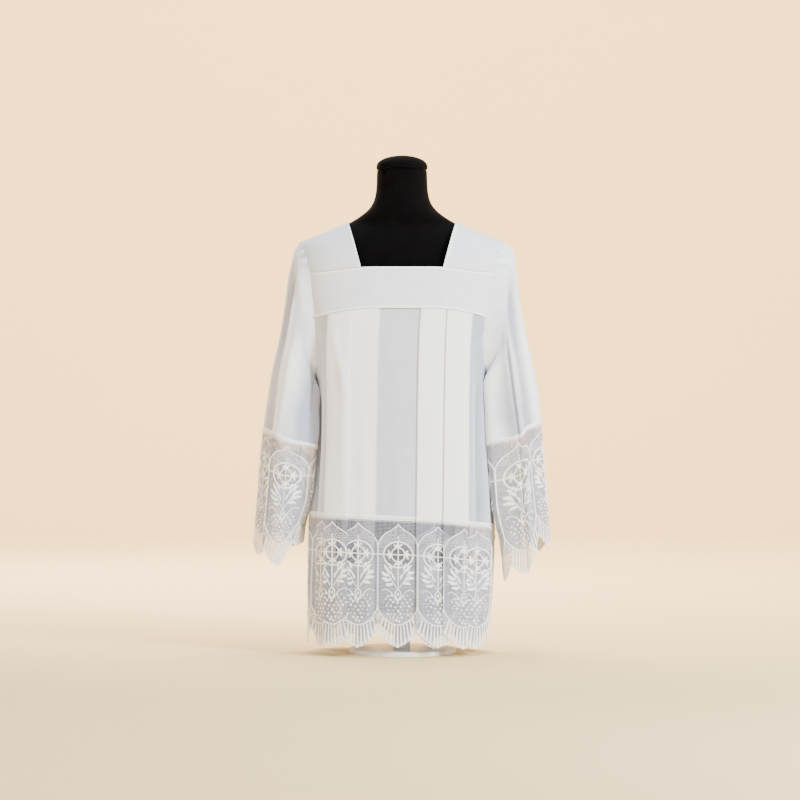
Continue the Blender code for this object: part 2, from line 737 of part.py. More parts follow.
def body_lace_point(place, down, front, way):
    # A point of the outer or inner skin of the body's lace.
    right = place >= 0
    height = LACE_TOP - SEAM_GAP / 2 - down
    path = pleat_corners(height, curve_end(height, right, front) - SEAM_GAP / 2)
    steps = mitres(path)
    lengths = path_lengths(path)
    folded = fold_places()[-1]
    if abs(place) <= folded:
        reach = abs(place)
    else:
        share = (abs(place) - folded) / (QUARTER_REPEATS * REPEAT - folded)
        reach = folded + (lengths[-1] - folded) * share
    index = min(int(np.searchsorted(lengths, reach - 1e-6)), len(path) - 1)
    if abs(lengths[index] - reach) < 2e-6:
        (along, out), step = path[index], steps[index]
    else:
        before = index - 1
        share = (reach - lengths[before]) / (lengths[index] - lengths[before])
        along, out = np.array(path[before]) + (np.array(path[index]) - np.array(path[before])) * share
        run = np.array(path[index]) - np.array(path[before])
        step = np.array([-run[1], run[0]]) / np.linalg.norm(run) / 2
    return on_body(height, right, front, along, out, np.array(step) * WALL * way)


def make_body_lace(name, front, collection):
    end = QUARTER_REPEATS * REPEAT
    cuts = [side * place for side in (-1, 1) for place in fold_places()]
    repeats = range(-QUARTER_REPEATS, QUARTER_REPEATS + 1)
    points, faces = flat_lace(repeats, -end, end, cuts)
    outer, inner = (
        [body_lace_point(place, down, front, way) for place, down in points] for way in (1, -1)
    )
    return add_object(name, wall_mesh(name, outer, inner, faces), WHITE_LACE, collection)


def sleeve_lace_point(place, down, right, way):
    table, cuff = (RIGHT_SLEEVE, RIGHT_CUFF) if right else (LEFT_SLEEVE, LEFT_CUFF)

    def middle(place, down):
        share = down / LACE_DEPTH
        turn = place / (SLEEVE_REPEATS * REPEAT) * 2 * math.pi
        return ring_point(mix(table[-1], cuff, share), right, turn, 1.0, dip=share)

    step = 0.002
    around = middle(place + step, down) - middle(place - step, down)
    fall = middle(place, down + step) - middle(place, down)
    normal = np.cross(around, fall) * (1 if right else -1)
    normal /= np.linalg.norm(normal)
    return middle(place, down) - normal * WALL / 2 * way


def make_sleeve_lace(name, right, front, collection):
    half = SLEEVE_REPEATS * REPEAT / 2
    first, last = (0.0, half) if front else (half, 2 * half)
    ends = (first + SEAM_GAP / 2, last - SEAM_GAP / 2)
    repeats = range(0, SLEEVE_REPEATS + 1)
    points, faces = flat_lace(repeats, *ends, [])
    outer, inner = (
        [sleeve_lace_point(place, down, right, way) for place, down in points] for way in (1, -1)
    )
    return add_object(name, wall_mesh(name, outer, inner, faces), WHITE_LACE, collection)


def form_ring(ring):
    points = []
    for side in range(FORM_SIDES):
        turn = 2 * math.pi * side / FORM_SIDES
        across, out = math.cos(turn), math.sin(turn)
        depth = ring.back if out > 0 else ring.front
        x = ring.width * math.copysign(abs(across) ** (2 / ring.power), across)
        y = depth * math.copysign(abs(out) ** (2 / ring.power), out)
        points.append((x, y, ring.height))
    return points


def make_torso(collection):
    points = [point for ring in FORM_RINGS for point in form_ring(ring)]
    faces = grid_faces(len(FORM_RINGS), FORM_SIDES, closed=True)
    last = (len(FORM_RINGS) - 1) * FORM_SIDES
    faces.append(tuple(range(FORM_SIDES)))
    faces.append(tuple(range(last, last + FORM_SIDES)))
    return add_object("form_torso", closed_mesh("form_torso", points, faces), BLACK_JERSEY, collection)


def make_turned(name, profile, sides, finish, collection):
    # A profile at +X, from the top to the bottom, turned round the Z axis.
    mesh = bpy.data.meshes.new(name)
    mesh.from_pydata([(x, 0.0, z) for x, z in profile], [(i, i + 1) for i in range(len(profile) - 1)], [])
    item = add_object(name, mesh, finish, collection)
    screw = item.modifiers.new("turn", "SCREW")
    screw.steps = sides
    screw.render_steps = sides
    screw.use_merge_vertices = True
    screw.merge_threshold = 0.0001
    screw.use_smooth_shade = True
    return item


def make_cap(collection):
    # A low dome on a short rim, on top of the neck.
    dome = [
        (CAP_RADIUS * math.sin(turn), CAP_RIM + (CAP_TOP - CAP_RIM) * math.cos(turn))
        for turn in (math.radians(step * 18) for step in range(6))
    ]
    profile = dome + [(CAP_RADIUS, CAP_BOTTOM), (0.0, CAP_BOTTOM)]
    return make_turned("form_neck_cap", profile, 20, BLACK_JERSEY, collection)


def make_base(collection):
    edge = [
        (
            BASE_RADIUS - BASE_EDGE + BASE_EDGE * math.sin(turn),
            BASE_THICKNESS - BASE_EDGE + BASE_EDGE * math.cos(turn),
        )
        for turn in (math.radians(step * 30) for step in range(4))
    ]
    profile = [(0.0, BASE_THICKNESS)] + edge + [(BASE_RADIUS, 0.0), (0.0, 0.0)]
    return make_turned("form_base", profile, 36, WHITE_METAL, collection)


def make_post(collection):
    bottom = BASE_THICKNESS + SEAM_GAP
    top = FORM_RINGS[-1].height - SEAM_GAP
    profile = [(0.0, top), (POST_RADIUS, top), (POST_RADIUS, bottom), (0.0, bottom)]
    return make_turned("form_post", profile, 16, WHITE_METAL, collection)


def main():
    clear_scene()
    collection = bpy.data.collections.new("surplice on a dress form")
    bpy.context.scene.collection.children.link(collection)
    make_torso(collection)
    make_cap(collection)
    make_post(collection)
    make_base(collection)
    make_yoke("yoke_front", True, collection)
    make_yoke("yoke_back", False, collection)
    make_panel("panel_front", True, collection)
    make_panel("panel_back", False, collection)
    make_body_lace("lace_front", True, collection)
    make_body_lace("lace_back", False, collection)
    for side, right in (("left", False), ("right", True)):
        make_shoulder(f"shoulder_{side}", right, collection)
        make_sleeve(f"sleeve_{side}", right, collection)
        make_sleeve_lace(f"sleeve_lace_{side}_front", right, True, collection)
        make_sleeve_lace(f"sleeve_lace_{side}_back", right, False, collection)


main()
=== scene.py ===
import math
from functools import lru_cache

import bmesh
import bpy
import numpy as np
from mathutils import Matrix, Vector


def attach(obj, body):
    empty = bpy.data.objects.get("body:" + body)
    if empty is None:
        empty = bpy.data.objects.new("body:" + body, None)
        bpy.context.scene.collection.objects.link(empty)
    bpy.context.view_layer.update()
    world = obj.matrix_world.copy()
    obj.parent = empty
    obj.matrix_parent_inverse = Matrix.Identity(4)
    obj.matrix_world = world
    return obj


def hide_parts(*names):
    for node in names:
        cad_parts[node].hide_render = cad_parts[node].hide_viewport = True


# A white square-necked surplice with pleats and lace, on a black table-top dress form.
# Metres, +Z up, the front faces -Y. Flat cloth is measured across as place and from its top edge as down.

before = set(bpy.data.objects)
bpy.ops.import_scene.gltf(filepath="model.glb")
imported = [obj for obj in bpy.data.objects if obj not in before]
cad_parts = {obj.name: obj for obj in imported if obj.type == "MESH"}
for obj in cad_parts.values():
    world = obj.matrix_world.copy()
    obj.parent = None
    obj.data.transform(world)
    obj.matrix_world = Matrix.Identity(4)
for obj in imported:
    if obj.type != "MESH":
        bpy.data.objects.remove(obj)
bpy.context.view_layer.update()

body = "root"
cloth = {"wall": 0.0006, "seamGap": 0.0003, "armholeGap": 0.0004, "roundness": 2.6, "step": 0.006}

# The body below the shoulders: half-widths and depths are measured from the centre's shift to the right,
# and armhole is the share of the depth at which the front and back panels end
sections = {
    "height": (0.000, 0.150, 0.290, 0.375, 0.460, 0.555, 0.604, 0.625, 0.650, 0.700, 0.760, 0.852, 0.954),
    "centre": (-0.016, -0.015, -0.014, -0.013, -0.012, -0.011, -0.010, -0.010, -0.009, -0.008, -0.004, 0, 0),
    "left": (0.194, 0.194, 0.192, 0.182, 0.174, 0.175, 0.178, 0.184, 0.190, 0.200, 0.212, 0.226, 0.226),
    "right": (0.202, 0.216, 0.220, 0.212, 0.203, 0.198, 0.198, 0.199, 0.200, 0.204, 0.212, 0.226, 0.226),
    "front": (0.142, 0.134, 0.127, 0.123, 0.120, 0.117, 0.115, 0.114, 0.113, 0.111, 0.108, 0.100, 0.100),
    "back": (0.132, 0.124, 0.117, 0.112, 0.108, 0.105, 0.103, 0.103, 0.102, 0.101, 0.098, 0.094, 0.094),
    "armhole": (0, 0, 0, 0, 0, 0, 0, 0.33, 0.46, 0.57, 0.61, 0.59, 0.59),
}
seams = {"yokeTop": 0.852, "backYokeTop": 0.901, "yokeBottom": 0.760, "armpit": 0.604, "laceTop": 0.300}
shoulder = {
    "ridgeHeight": 0.954, "ridgeSlope": 0.41, "neckTop": 0.119, "neckBottom": 0.090, "tip": 0.224, "base": 0.202,
}


def sideName(right):
    return "right" if right else "left"


def faceName(front):
    return "front" if front else "back"


def bothSides(left, right):
    # two halves that start at the centre line, as one row from left to right
    return np.concatenate([left[::-1], right[1:]])


def smoothStep(value):
    value = np.clip(value, 0.0, 1.0)
    return value * value * (3 - 2 * value)


def bump(distance, width):
    return np.exp(-((distance / width) ** 2))


def sectionAt(column, height):
    return float(np.interp(height, sections["height"], sections[column]))


@lru_cache(maxsize=None)
def quarterCurve(height, right, front):
    # a quarter of a section, from the centre line to the side seam, and the length along it
    width = sectionAt(sideName(right), height)
    depth = sectionAt(faceName(front), height)
    turn = np.linspace(math.pi / 2, 0.0, 400)
    across = width * np.cos(turn).clip(0, 1) ** (2 / cloth["roundness"])
    out = depth * np.sin(turn) ** (2 / cloth["roundness"])
    along = np.concatenate([[0.0], np.cumsum(np.hypot(np.diff(across), np.diff(out)))])
    return along, across, out


def ridgeHeight(across):
    # the height of the shoulder's ridge that far from the centre line
    return shoulder["ridgeHeight"] - shoulder["ridgeSlope"] * (across - shoulder["neckTop"])


def curveEnd(height, right, front):
    # where a panel ends: at the armhole, or at the side seam under it
    along, _, out = quarterCurve(height, right, front)
    return float(np.interp(-sectionAt("armhole", height) * out[0], -out, along))


settling = {
    "droop": 0.019, "droopFrom": 0.07, "droopAt": 0.19, "droopPower": 1.6, "widest": 0.24,
    "above": 0.60, "aboveOver": 0.13, "ridgeGap": 0.012, "ridgeOver": 0.11,
    "slope": 0.038, "slopeOver": 0.22, "slopeUnder": 0.60, "slopeFade": 0.28, "hemSag": 0.30,
}


def settled(points, sleeve=False):
    # the cloth hangs lower towards the armholes, and the lace's seam slopes down to the right
    x, z = points[..., 0], points[..., 2]
    side = np.minimum(np.abs(x), settling["widest"])
    under = smoothStep((z - settling["above"]) / settling["aboveOver"])
    under = under * smoothStep((ridgeHeight(side) - settling["ridgeGap"] - z) / settling["ridgeOver"])
    share = np.clip((side - settling["droopFrom"]) / (settling["droopAt"] - settling["droopFrom"]), 0, 1)
    fall = settling["droop"] * share ** settling["droopPower"] * under
    if not sleeve:
        fade = smoothStep((settling["slopeUnder"] - z) / settling["slopeFade"])
        fall = fall + settling["slope"] * x * smoothStep(z / settling["slopeOver"]) * fade
    moved = points.copy()
    moved[..., 2] -= fall
    return moved


def bodyPoints(height, right, front, along, out):
    # the points that far along a quarter of the body and that far out of it
    lengths, across, depth = quarterCurve(height, right, front)
    step = 0.0008
    low, high = np.maximum(along - step, 0.0), np.minimum(along + step, lengths[-1])
    tangent = np.stack([np.interp(high, lengths, line) - np.interp(low, lengths, line)
                        for line in (across, depth)], axis=1)
    tangent /= np.linalg.norm(tangent, axis=1, keepdims=True)
    tangent[along <= step] = (1.0, 0.0)
    tangent[along >= lengths[-1] - step] = (0.0, -1.0)
    flatX = np.interp(along, lengths, across) - tangent[:, 1] * out
    flatY = np.interp(along, lengths, depth) + tangent[:, 0] * out
    x = sectionAt("centre", height) + (flatX if right else -flatX)
    sag = settling["hemSag"] * np.maximum(x, 0) ** 2 * smoothStep((seams["armpit"] - height) / seams["laceTop"])
    return np.stack([x, -flatY if front else flatY, height - sag], axis=1)


# Meshes

def gridNormals(points, outward, closed=False):
    # normals of a grid of points, on the side where outward, a point of the grid or of each row, isn't
    if closed:
        around = np.roll(points, -1, axis=1) - np.roll(points, 1, axis=1)
    else:
        around = np.gradient(points, axis=1)
    normals = np.cross(around, np.gradient(points, axis=0))
    normals /= np.maximum(np.linalg.norm(normals, axis=2, keepdims=True), 1e-12)
    return normals if (normals * (points - outward)).sum() > 0 else -normals


def gridFaces(rows, columns, closed=False):
    wide = columns if closed else columns - 1
    row, column = np.meshgrid(np.arange(rows - 1), np.arange(wide), indexing="ij")
    after = (column + 1) % columns
    corners = [row * columns + column, row * columns + after, (row + 1) * columns + after, (row + 1) * columns + column]
    return np.stack(corners, axis=2).reshape(-1, 4)


hems = {"deep": 0.0065, "rise": 0.0008, "rows": (0.0100, 0.0078, 0.0070, 0.0062, 0.0030, 0.0008, 0.0)}


def makeObject(name, points, faces, material, smooth=True):
    mesh = bpy.data.meshes.new(name)
    mesh.from_pydata(points.tolist(), [], faces if isinstance(faces, list) else faces.tolist())
    mesh.materials.append(material)
    if smooth:
        mesh.shade_smooth()
        mesh.set_sharp_from_angle(angle=math.radians(55))
    item = bpy.data.objects.new(name, mesh)
    bpy.context.scene.collection.objects.link(item)
    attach(item, body)
    return item


def shell(name, outer, inner, backingAndPaintedShade, closed=False):
    # two skins of a grid and the strips that join their edges
    rows, columns = outer.shape[:2]
    faces = gridFaces(rows, columns, closed)
    shift = rows * columns
    index = np.arange(shift).reshape(rows, columns)
    edges = []
    rims = [index[0], index[-1][::-1]]
    if closed:
        rims = [np.append(rim, rim[0]) for rim in rims]
    else:
        rims += [index[::-1, 0], index[:, -1]]
    for rim in rims:
        start, end = rim[:-1], rim[1:]
        edges.append(np.stack([end, start, start + shift, end + shift], axis=1))
    flipped = faces[:, ::-1] + shift
    allFaces = np.concatenate([faces, flipped] + edges)
    points = np.concatenate([outer.reshape(-1, 3), inner.reshape(-1, 3)])
    item = makeObject(name, points, allFaces, clothMaterial)
    values = np.broadcast_to(np.asarray(backingAndPaintedShade, float), (rows, columns)).reshape(-1)
    layer = item.data.attributes.new("backingAndPaintedShade", "FLOAT", "POINT")
    layer.data.foreach_set("value", np.concatenate([values, values]).astype(np.float32))
    return item


def clothShell(name, grid, outward, backingAndPaintedShade, hem, closed=False):
    # a wall of cloth on both sides of a grid, thicker on its outer side at the hem
    normals = gridNormals(grid, outward, closed)
    half = cloth["wall"] / 2
    return shell(name, grid + normals * (half + hem[:, None, None]), grid - normals * half, backingAndPaintedShade, closed)


def hemRise(downs):
    # the doubled cloth of a hem along the bottom of a piece, with a rounded edge
    left = downs[-1] - downs
    rise = hems["rise"] * (1 - smoothStep((left - hems["deep"]) / 0.001))
    return rise * (0.5 + 0.5 * smoothStep(left / 0.0008))


# Pleated panels

pleats = {
    "fold": ((0.045, 0.043, True), (0.103, 0.014, True), (0.157, 0.027, False)),  # edge, depth, faces the centre
    "pitch": 0.0022, "pitchTop": 0.0017, "changesFrom": 0.62, "changesOver": 0.14,
    "lastFall": 0.024, "sideFoldAt": 0.196, "sideFoldWidth": 0.014, "sideFoldDepth": 0.005, "sideFoldOver": 0.08,
    "sideSteps": 34, "turnSteps": 6,
}
# Soft creases, a row each: where they start and end along the cloth from the centre line (left is negative)
# and in height, how wide they are and how far they rise or sink
creaseColumns = ("start", "top", "end", "bottom", "width", "rise")
creases = {
    "front": (
        (-0.172, 0.700, -0.187, 0.000, 0.0055, 0.0034),
        (-0.205, 0.640, -0.206, 0.060, 0.0080, -0.0036),
        (-0.225, 0.560, -0.232, 0.120, 0.0070, 0.0030),
        (-0.118, 0.690, -0.113, 0.330, 0.0100, 0.0013),
        (-0.150, 0.752, -0.108, 0.560, 0.0080, 0.0020),
        (-0.072, 0.540, -0.066, 0.030, 0.0120, 0.0014),
        (-0.010, 0.460, -0.016, 0.040, 0.0100, -0.0008),
        (0.076, 0.600, 0.081, 0.050, 0.0120, 0.0013),
        (0.171, 0.720, 0.177, 0.020, 0.0055, 0.0032),
        (0.193, 0.640, 0.190, 0.100, 0.0070, -0.0032),
        (0.214, 0.600, 0.222, 0.180, 0.0075, 0.0036),
    ),
    "back": (
        (-0.176, 0.690, -0.184, 0.010, 0.0060, 0.0032),
        (-0.202, 0.600, -0.206, 0.080, 0.0080, -0.0032),
        (-0.120, 0.640, -0.116, 0.100, 0.0110, 0.0014),
        (-0.068, 0.580, -0.074, 0.020, 0.0120, 0.0013),
        (0.012, 0.520, 0.006, 0.060, 0.0110, -0.0009),
        (0.069, 0.620, 0.066, 0.040, 0.0120, 0.0014),
        (0.117, 0.560, 0.121, 0.200, 0.0100, 0.0012),
        (0.170, 0.700, 0.180, 0.020, 0.0060, 0.0034),
        (0.208, 0.620, 0.214, 0.140, 0.0080, -0.0034),
    ),
}
drape = {"rise": 0.0016, "wave": 0.170, "shift": 0.9, "edge": 0.034, "fade": 0.05}


def pleatPitch(height):
    change = smoothStep((height - pleats["changesFrom"]) / pleats["changesOver"])
    return pleats["pitch"] + (pleats["pitchTop"] - pleats["pitch"]) * change


def sideFall(along, height, pitch):
    # how far the cloth beside the last pleat stands out, with one soft fold down the side
    fall = 2 * pitch * (1 - smoothStep((along - pleats["fold"][-1][0]) / pleats["lastFall"]))
    fold = pleats["sideFoldDepth"] * bump(along - pleats["sideFoldAt"], pleats["sideFoldWidth"])
    return fall - fold * smoothStep((seams["armpit"] - height) / pleats["sideFoldOver"])


def pleatLine(height, end):
    # the cloth from the centre line to its end: how far along, how far out, and its place when flat
    pitch = pleatPitch(height)
    half = pitch / 2
    along, out, place = [0.0], [0.0], [0.0]
    level, corner, target = 0.0, 0.0, 0.0
    for edge, depth, facesCentre in pleats["fold"]:
        rise = pitch if facesCentre else -pitch
        turns = ((edge + depth, 1), (edge, -1)) if facesCentre else ((edge, 1), (edge - depth, -1))
        for nextTarget, way in turns:
            steps = max(1, round(abs(nextTarget - target) / cloth["step"]))
            corner += abs(nextTarget - target)
            target = nextTarget
            bend = target - way * half
            begin = along[-1]
            for step in range(1, steps + 1):
                along.append(begin + (bend - begin) * step / steps)
                out.append(level)
                place.append(corner - abs(target - along[-1]))
            for step in range(1, pleats["turnSteps"] + 1):
                turn = math.pi * (step / pleats["turnSteps"] - 0.5)
                along.append(bend + way * half * math.cos(turn))
                out.append(level + rise / 2 + rise / 2 * math.sin(turn))
                place.append(corner - half + 2 * pitch * step / pleats["turnSteps"])
            level += rise
            corner += pitch
    side = along[-1] + (end - along[-1]) * np.arange(1, pleats["sideSteps"] + 1) / pleats["sideSteps"]
    share = np.linspace(0, 1, pleats["sideSteps"] + 1)[1:]
    place = np.concatenate([place, place[-1] + (laceHalf - place[-1]) * share])
    along = np.concatenate([along, side])
    out = np.concatenate([out, sideFall(side, height, pitch)])
    return along, out, place


creaseScale = {"body": 1.5, "sleeve": 1.7}
# how light the cloth's colour is: over one layer in the recess, how much more on the pleats, how much less beside the
# last pleat on each side, a painted shade set apart for left and right against the lamps, on sleeves and shoulders,
# also a painted shade, and how much creases change it, as painted shade in their troughs and painted highlight on their
# crests
shades = {
    "recess": 0.31, "pleat": 0.63, "pleatFrom": 0.044, "pleatOver": 0.003,
    "left": 0.58, "right": 0.88, "sideFrom": 0.1568, "sideOver": 0.006, "crease": 48.0,
    "sleeve": 0.66, "sleeveCrease": 95.0, "shoulder": 0.56, "stitched": 0.6,
}


def drapeOut(along, height, end, right, front):
    # how far the creases and a slow wave move the cloth out, the same for every layer of a pleat
    signed = along if right else -along
    moved = np.zeros(len(along))
    for row in creases[faceName(front)]:
        crease = dict(zip(creaseColumns, row))
        share = (crease["top"] - height) / (crease["top"] - crease["bottom"])
        centre = crease["start"] + (crease["end"] - crease["start"]) * np.clip(share, 0, 1)
        strength = smoothStep(share / 0.25) * smoothStep((1.15 - share) / 0.25)
        moved += creaseScale["body"] * crease["rise"] * strength * bump(signed - centre, crease["width"])
    wave = np.sin(2 * math.pi * signed / drape["wave"] + drape["shift"] + (0 if front else 2.0))
    moved += drape["rise"] * wave * smoothStep((seams["yokeBottom"] - height) / 0.6)
    moved *= smoothStep((seams["yokeBottom"] - height) / drape["fade"])
    return moved * smoothStep((end - along) / drape["edge"])


def bodyRow(height, front):
    # one row of a pleated piece from its left end to its right end: points, places, and the cloth's lightness with its
    # painted shade
    halves = []
    for right in (False, True):
        end = curveEnd(height, right, front) - cloth["seamGap"] / 2
        along, out, place = pleatLine(height, end)
        drop = drapeOut(along, height, end, right, front)
        # lightness: lighter where the pleats lie doubled behind; painted shade beside the last pleats, set apart for
        # left and right against the lamps, and painted shade and highlight where creases sink and rise
        pleatLayersAndShade = shades["recess"] + shades["pleat"] * smoothStep((along - shades["pleatFrom"]) / shades["pleatOver"])
        pleatLayersAndShade -= shades[sideName(right)] * smoothStep((along - shades["sideFrom"]) / shades["sideOver"])
        pleatLayersAndShade = np.clip(pleatLayersAndShade + shades["crease"] * drop, 0, 1)
        halves.append((bodyPoints(height, right, front, along, out + drop), place if right else -place, pleatLayersAndShade))
    return [bothSides(*pair) for pair in zip(*halves)]


def bodyGrid(heights, front):
    points, places, backingAndPaintedShade = zip(*(bodyRow(height, front) for height in heights))
    return settled(np.stack(points)), places[-1], np.stack(backingAndPaintedShade)


# Lace, in one repeat: across from the middle of a motif and down from the seam

lace = {
    "repeat": 0.096, "depth": 0.278, "mesh": 0.003, "quarterRepeats": 5, "sleeveRepeats": 5,
    "scallopAt": (0.0, 0.018, 0.036, 0.048), "scallopDown": (0.278, 0.270, 0.256, 0.243),
    "ringDown": 0.077, "ringWide": 0.0345, "ringTall": 0.0278, "innerRing": 0.0155,
    "lift": 0.00012, "endsFrom": 0.335, "endsOver": 0.05,
}
# widths of the net's threads: plain, down above the arches, within them, in the rings, and more at the ends
bodyThreads = {"thread": 0.00064, "strong": 0.00080, "arch": 0.00132, "open": 0.00042, "ends": 0.00070}
sleeveThreads = {"thread": 0.00100, "strong": 0.00125, "arch": 0.00160, "open": 0.00070, "ends": 0.0}
bodyLace = {"stretch": 0.922, "shift": 0.006}  # the body's repeats are narrower, and off the centre line
sleeveLace = {"stretch": 1.0, "shift": 0.028}
laceHalf = lace["quarterRepeats"] * lace["repeat"] * bodyLace["stretch"]
arch = ((0, 11), (4.5, 16), (10, 20.5), (20, 26.5), (31, 32.5), (38.5, 39.5), (44.5, 48), (47.2, 56), (48, 64))
lowerCurve = ((48, 188), (45, 198), (37, 209), (28, 218), (18, 224), (9, 228), (0, 229))
leaves = (  # root, tip and width in millimetres
    ((13, 110), (21, 95), 4.0), ((19, 114), (32, 99), 4.6), ((12, 119), (25, 107), 4.2), ((20, 123), (39, 114), 5.4),
    ((16, 132), (38, 127), 5.6), ((10, 139), (30, 141), 4.8), ((6, 132), (13, 118), 3.6),
)
grapes = {
    "rows": ((166, (14, 23)), (173, (8, 18, 28)), (181, (0, 11, 22, 33)), (189, (6, 16, 27)), (197, (0, 11, 21)),
             (205, (6, 16, 25)), (213, (0, 10)), (220, (5,))),
    "radius": 3.0, "rise": 1.3,
}


def scallopDown(x):
    return np.interp(np.abs(x), lace["scallopAt"], lace["scallopDown"])


def curveThrough(points, step=2.4):
    # a smooth line through points in millimetres, with points about one step apart, in metres
    points = np.array(points, float)
    ends = np.concatenate([[2 * points[0] - points[1]], points, [2 * points[-1] - points[-2]]])
    line = []
    for a, b, c, d in zip(ends, ends[1:], ends[2:], ends[3:]):
        count = max(1, round(np.linalg.norm(c - b) / step))
        for t in np.arange(count) / count:
            square, cube = (2 * a - 5 * b + 4 * c - d) * t**2, (3 * b - a - 3 * c + d) * t**3
            line.append(0.5 * (2 * b + (c - a) * t + square + cube))
    return np.array(line + [points[-1]]) / 1000


def thread(line, width, rise, ring=False):
    # a raised thread of three sides along a flat line; its width may be a number for each point
    line = np.asarray(line, float)
    width = np.broadcast_to(np.asarray(width, float), len(line))
    if ring:
        run = np.roll(line, -1, axis=0) - np.roll(line, 1, axis=0)
    else:
        run = np.gradient(line, axis=0)
    run /= np.maximum(np.linalg.norm(run, axis=1, keepdims=True), 1e-12)
    across = np.stack([-run[:, 1], run[:, 0]], axis=1) * width[:, None] / 2
    crest = rise * np.minimum(width / width.max(), 1)
    low = np.full(len(line), lace["lift"])
    points = np.concatenate([
        np.column_stack([line + across, low]), np.column_stack([line, crest]), np.column_stack([line - across, low]),
    ])
    count = len(line)
    start = np.arange(count if ring else count - 1)
    end = (start + 1) % count
    faces = [np.stack([start + a, end + a, end + b, start + b], axis=1)
             for a, b in ((0, count), (count, 2 * count), (2 * count, 0))]
    faces = np.concatenate(faces).tolist()
    if not ring:
        faces += [[0, count, 2 * count], [3 * count - 1, 2 * count - 1, count - 1]]
    return points, faces


def dot(x, down, radius, rise, sides=7):
    turn = np.arange(sides) * 2 * math.pi / sides
    foot = np.column_stack([x + radius * np.cos(turn), down + radius * np.sin(turn), np.full(sides, lace["lift"])])
    brow = np.column_stack([x + radius * 0.6 * np.cos(turn), down + radius * 0.6 * np.sin(turn), np.full(sides, rise)])
    after = (np.arange(sides) + 1) % sides
    faces = [[i, after[i], sides + after[i], sides + i] for i in range(sides)]
    faces += [list(range(sides, 2 * sides)), list(range(sides))[::-1]]
    return np.concatenate([foot, brow]), [[int(i) for i in face] for face in faces]


def leafShape(root, tip, width):
    root, tip = np.array(root, float) / 1000, np.array(tip, float) / 1000
    share = np.linspace(0, 1, 8)
    bend = np.array([tip[1] - root[1], root[0] - tip[0]]) * 0.12
    line = root + (tip - root) * share[:, None] + bend * np.sin(share * math.pi)[:, None]
    return thread(line, 1.25 * width / 1000 * (0.12 + np.sin(share * math.pi) ** 0.8), 0.0015)


def ringLine(x, down, wide, tall, count):
    turn = np.arange(count) * 2 * math.pi / count
    return np.column_stack([x + wide * np.sin(turn), down - tall * np.cos(turn)])


def mirrored(points):
    return [(-x, down) for x, down in points]


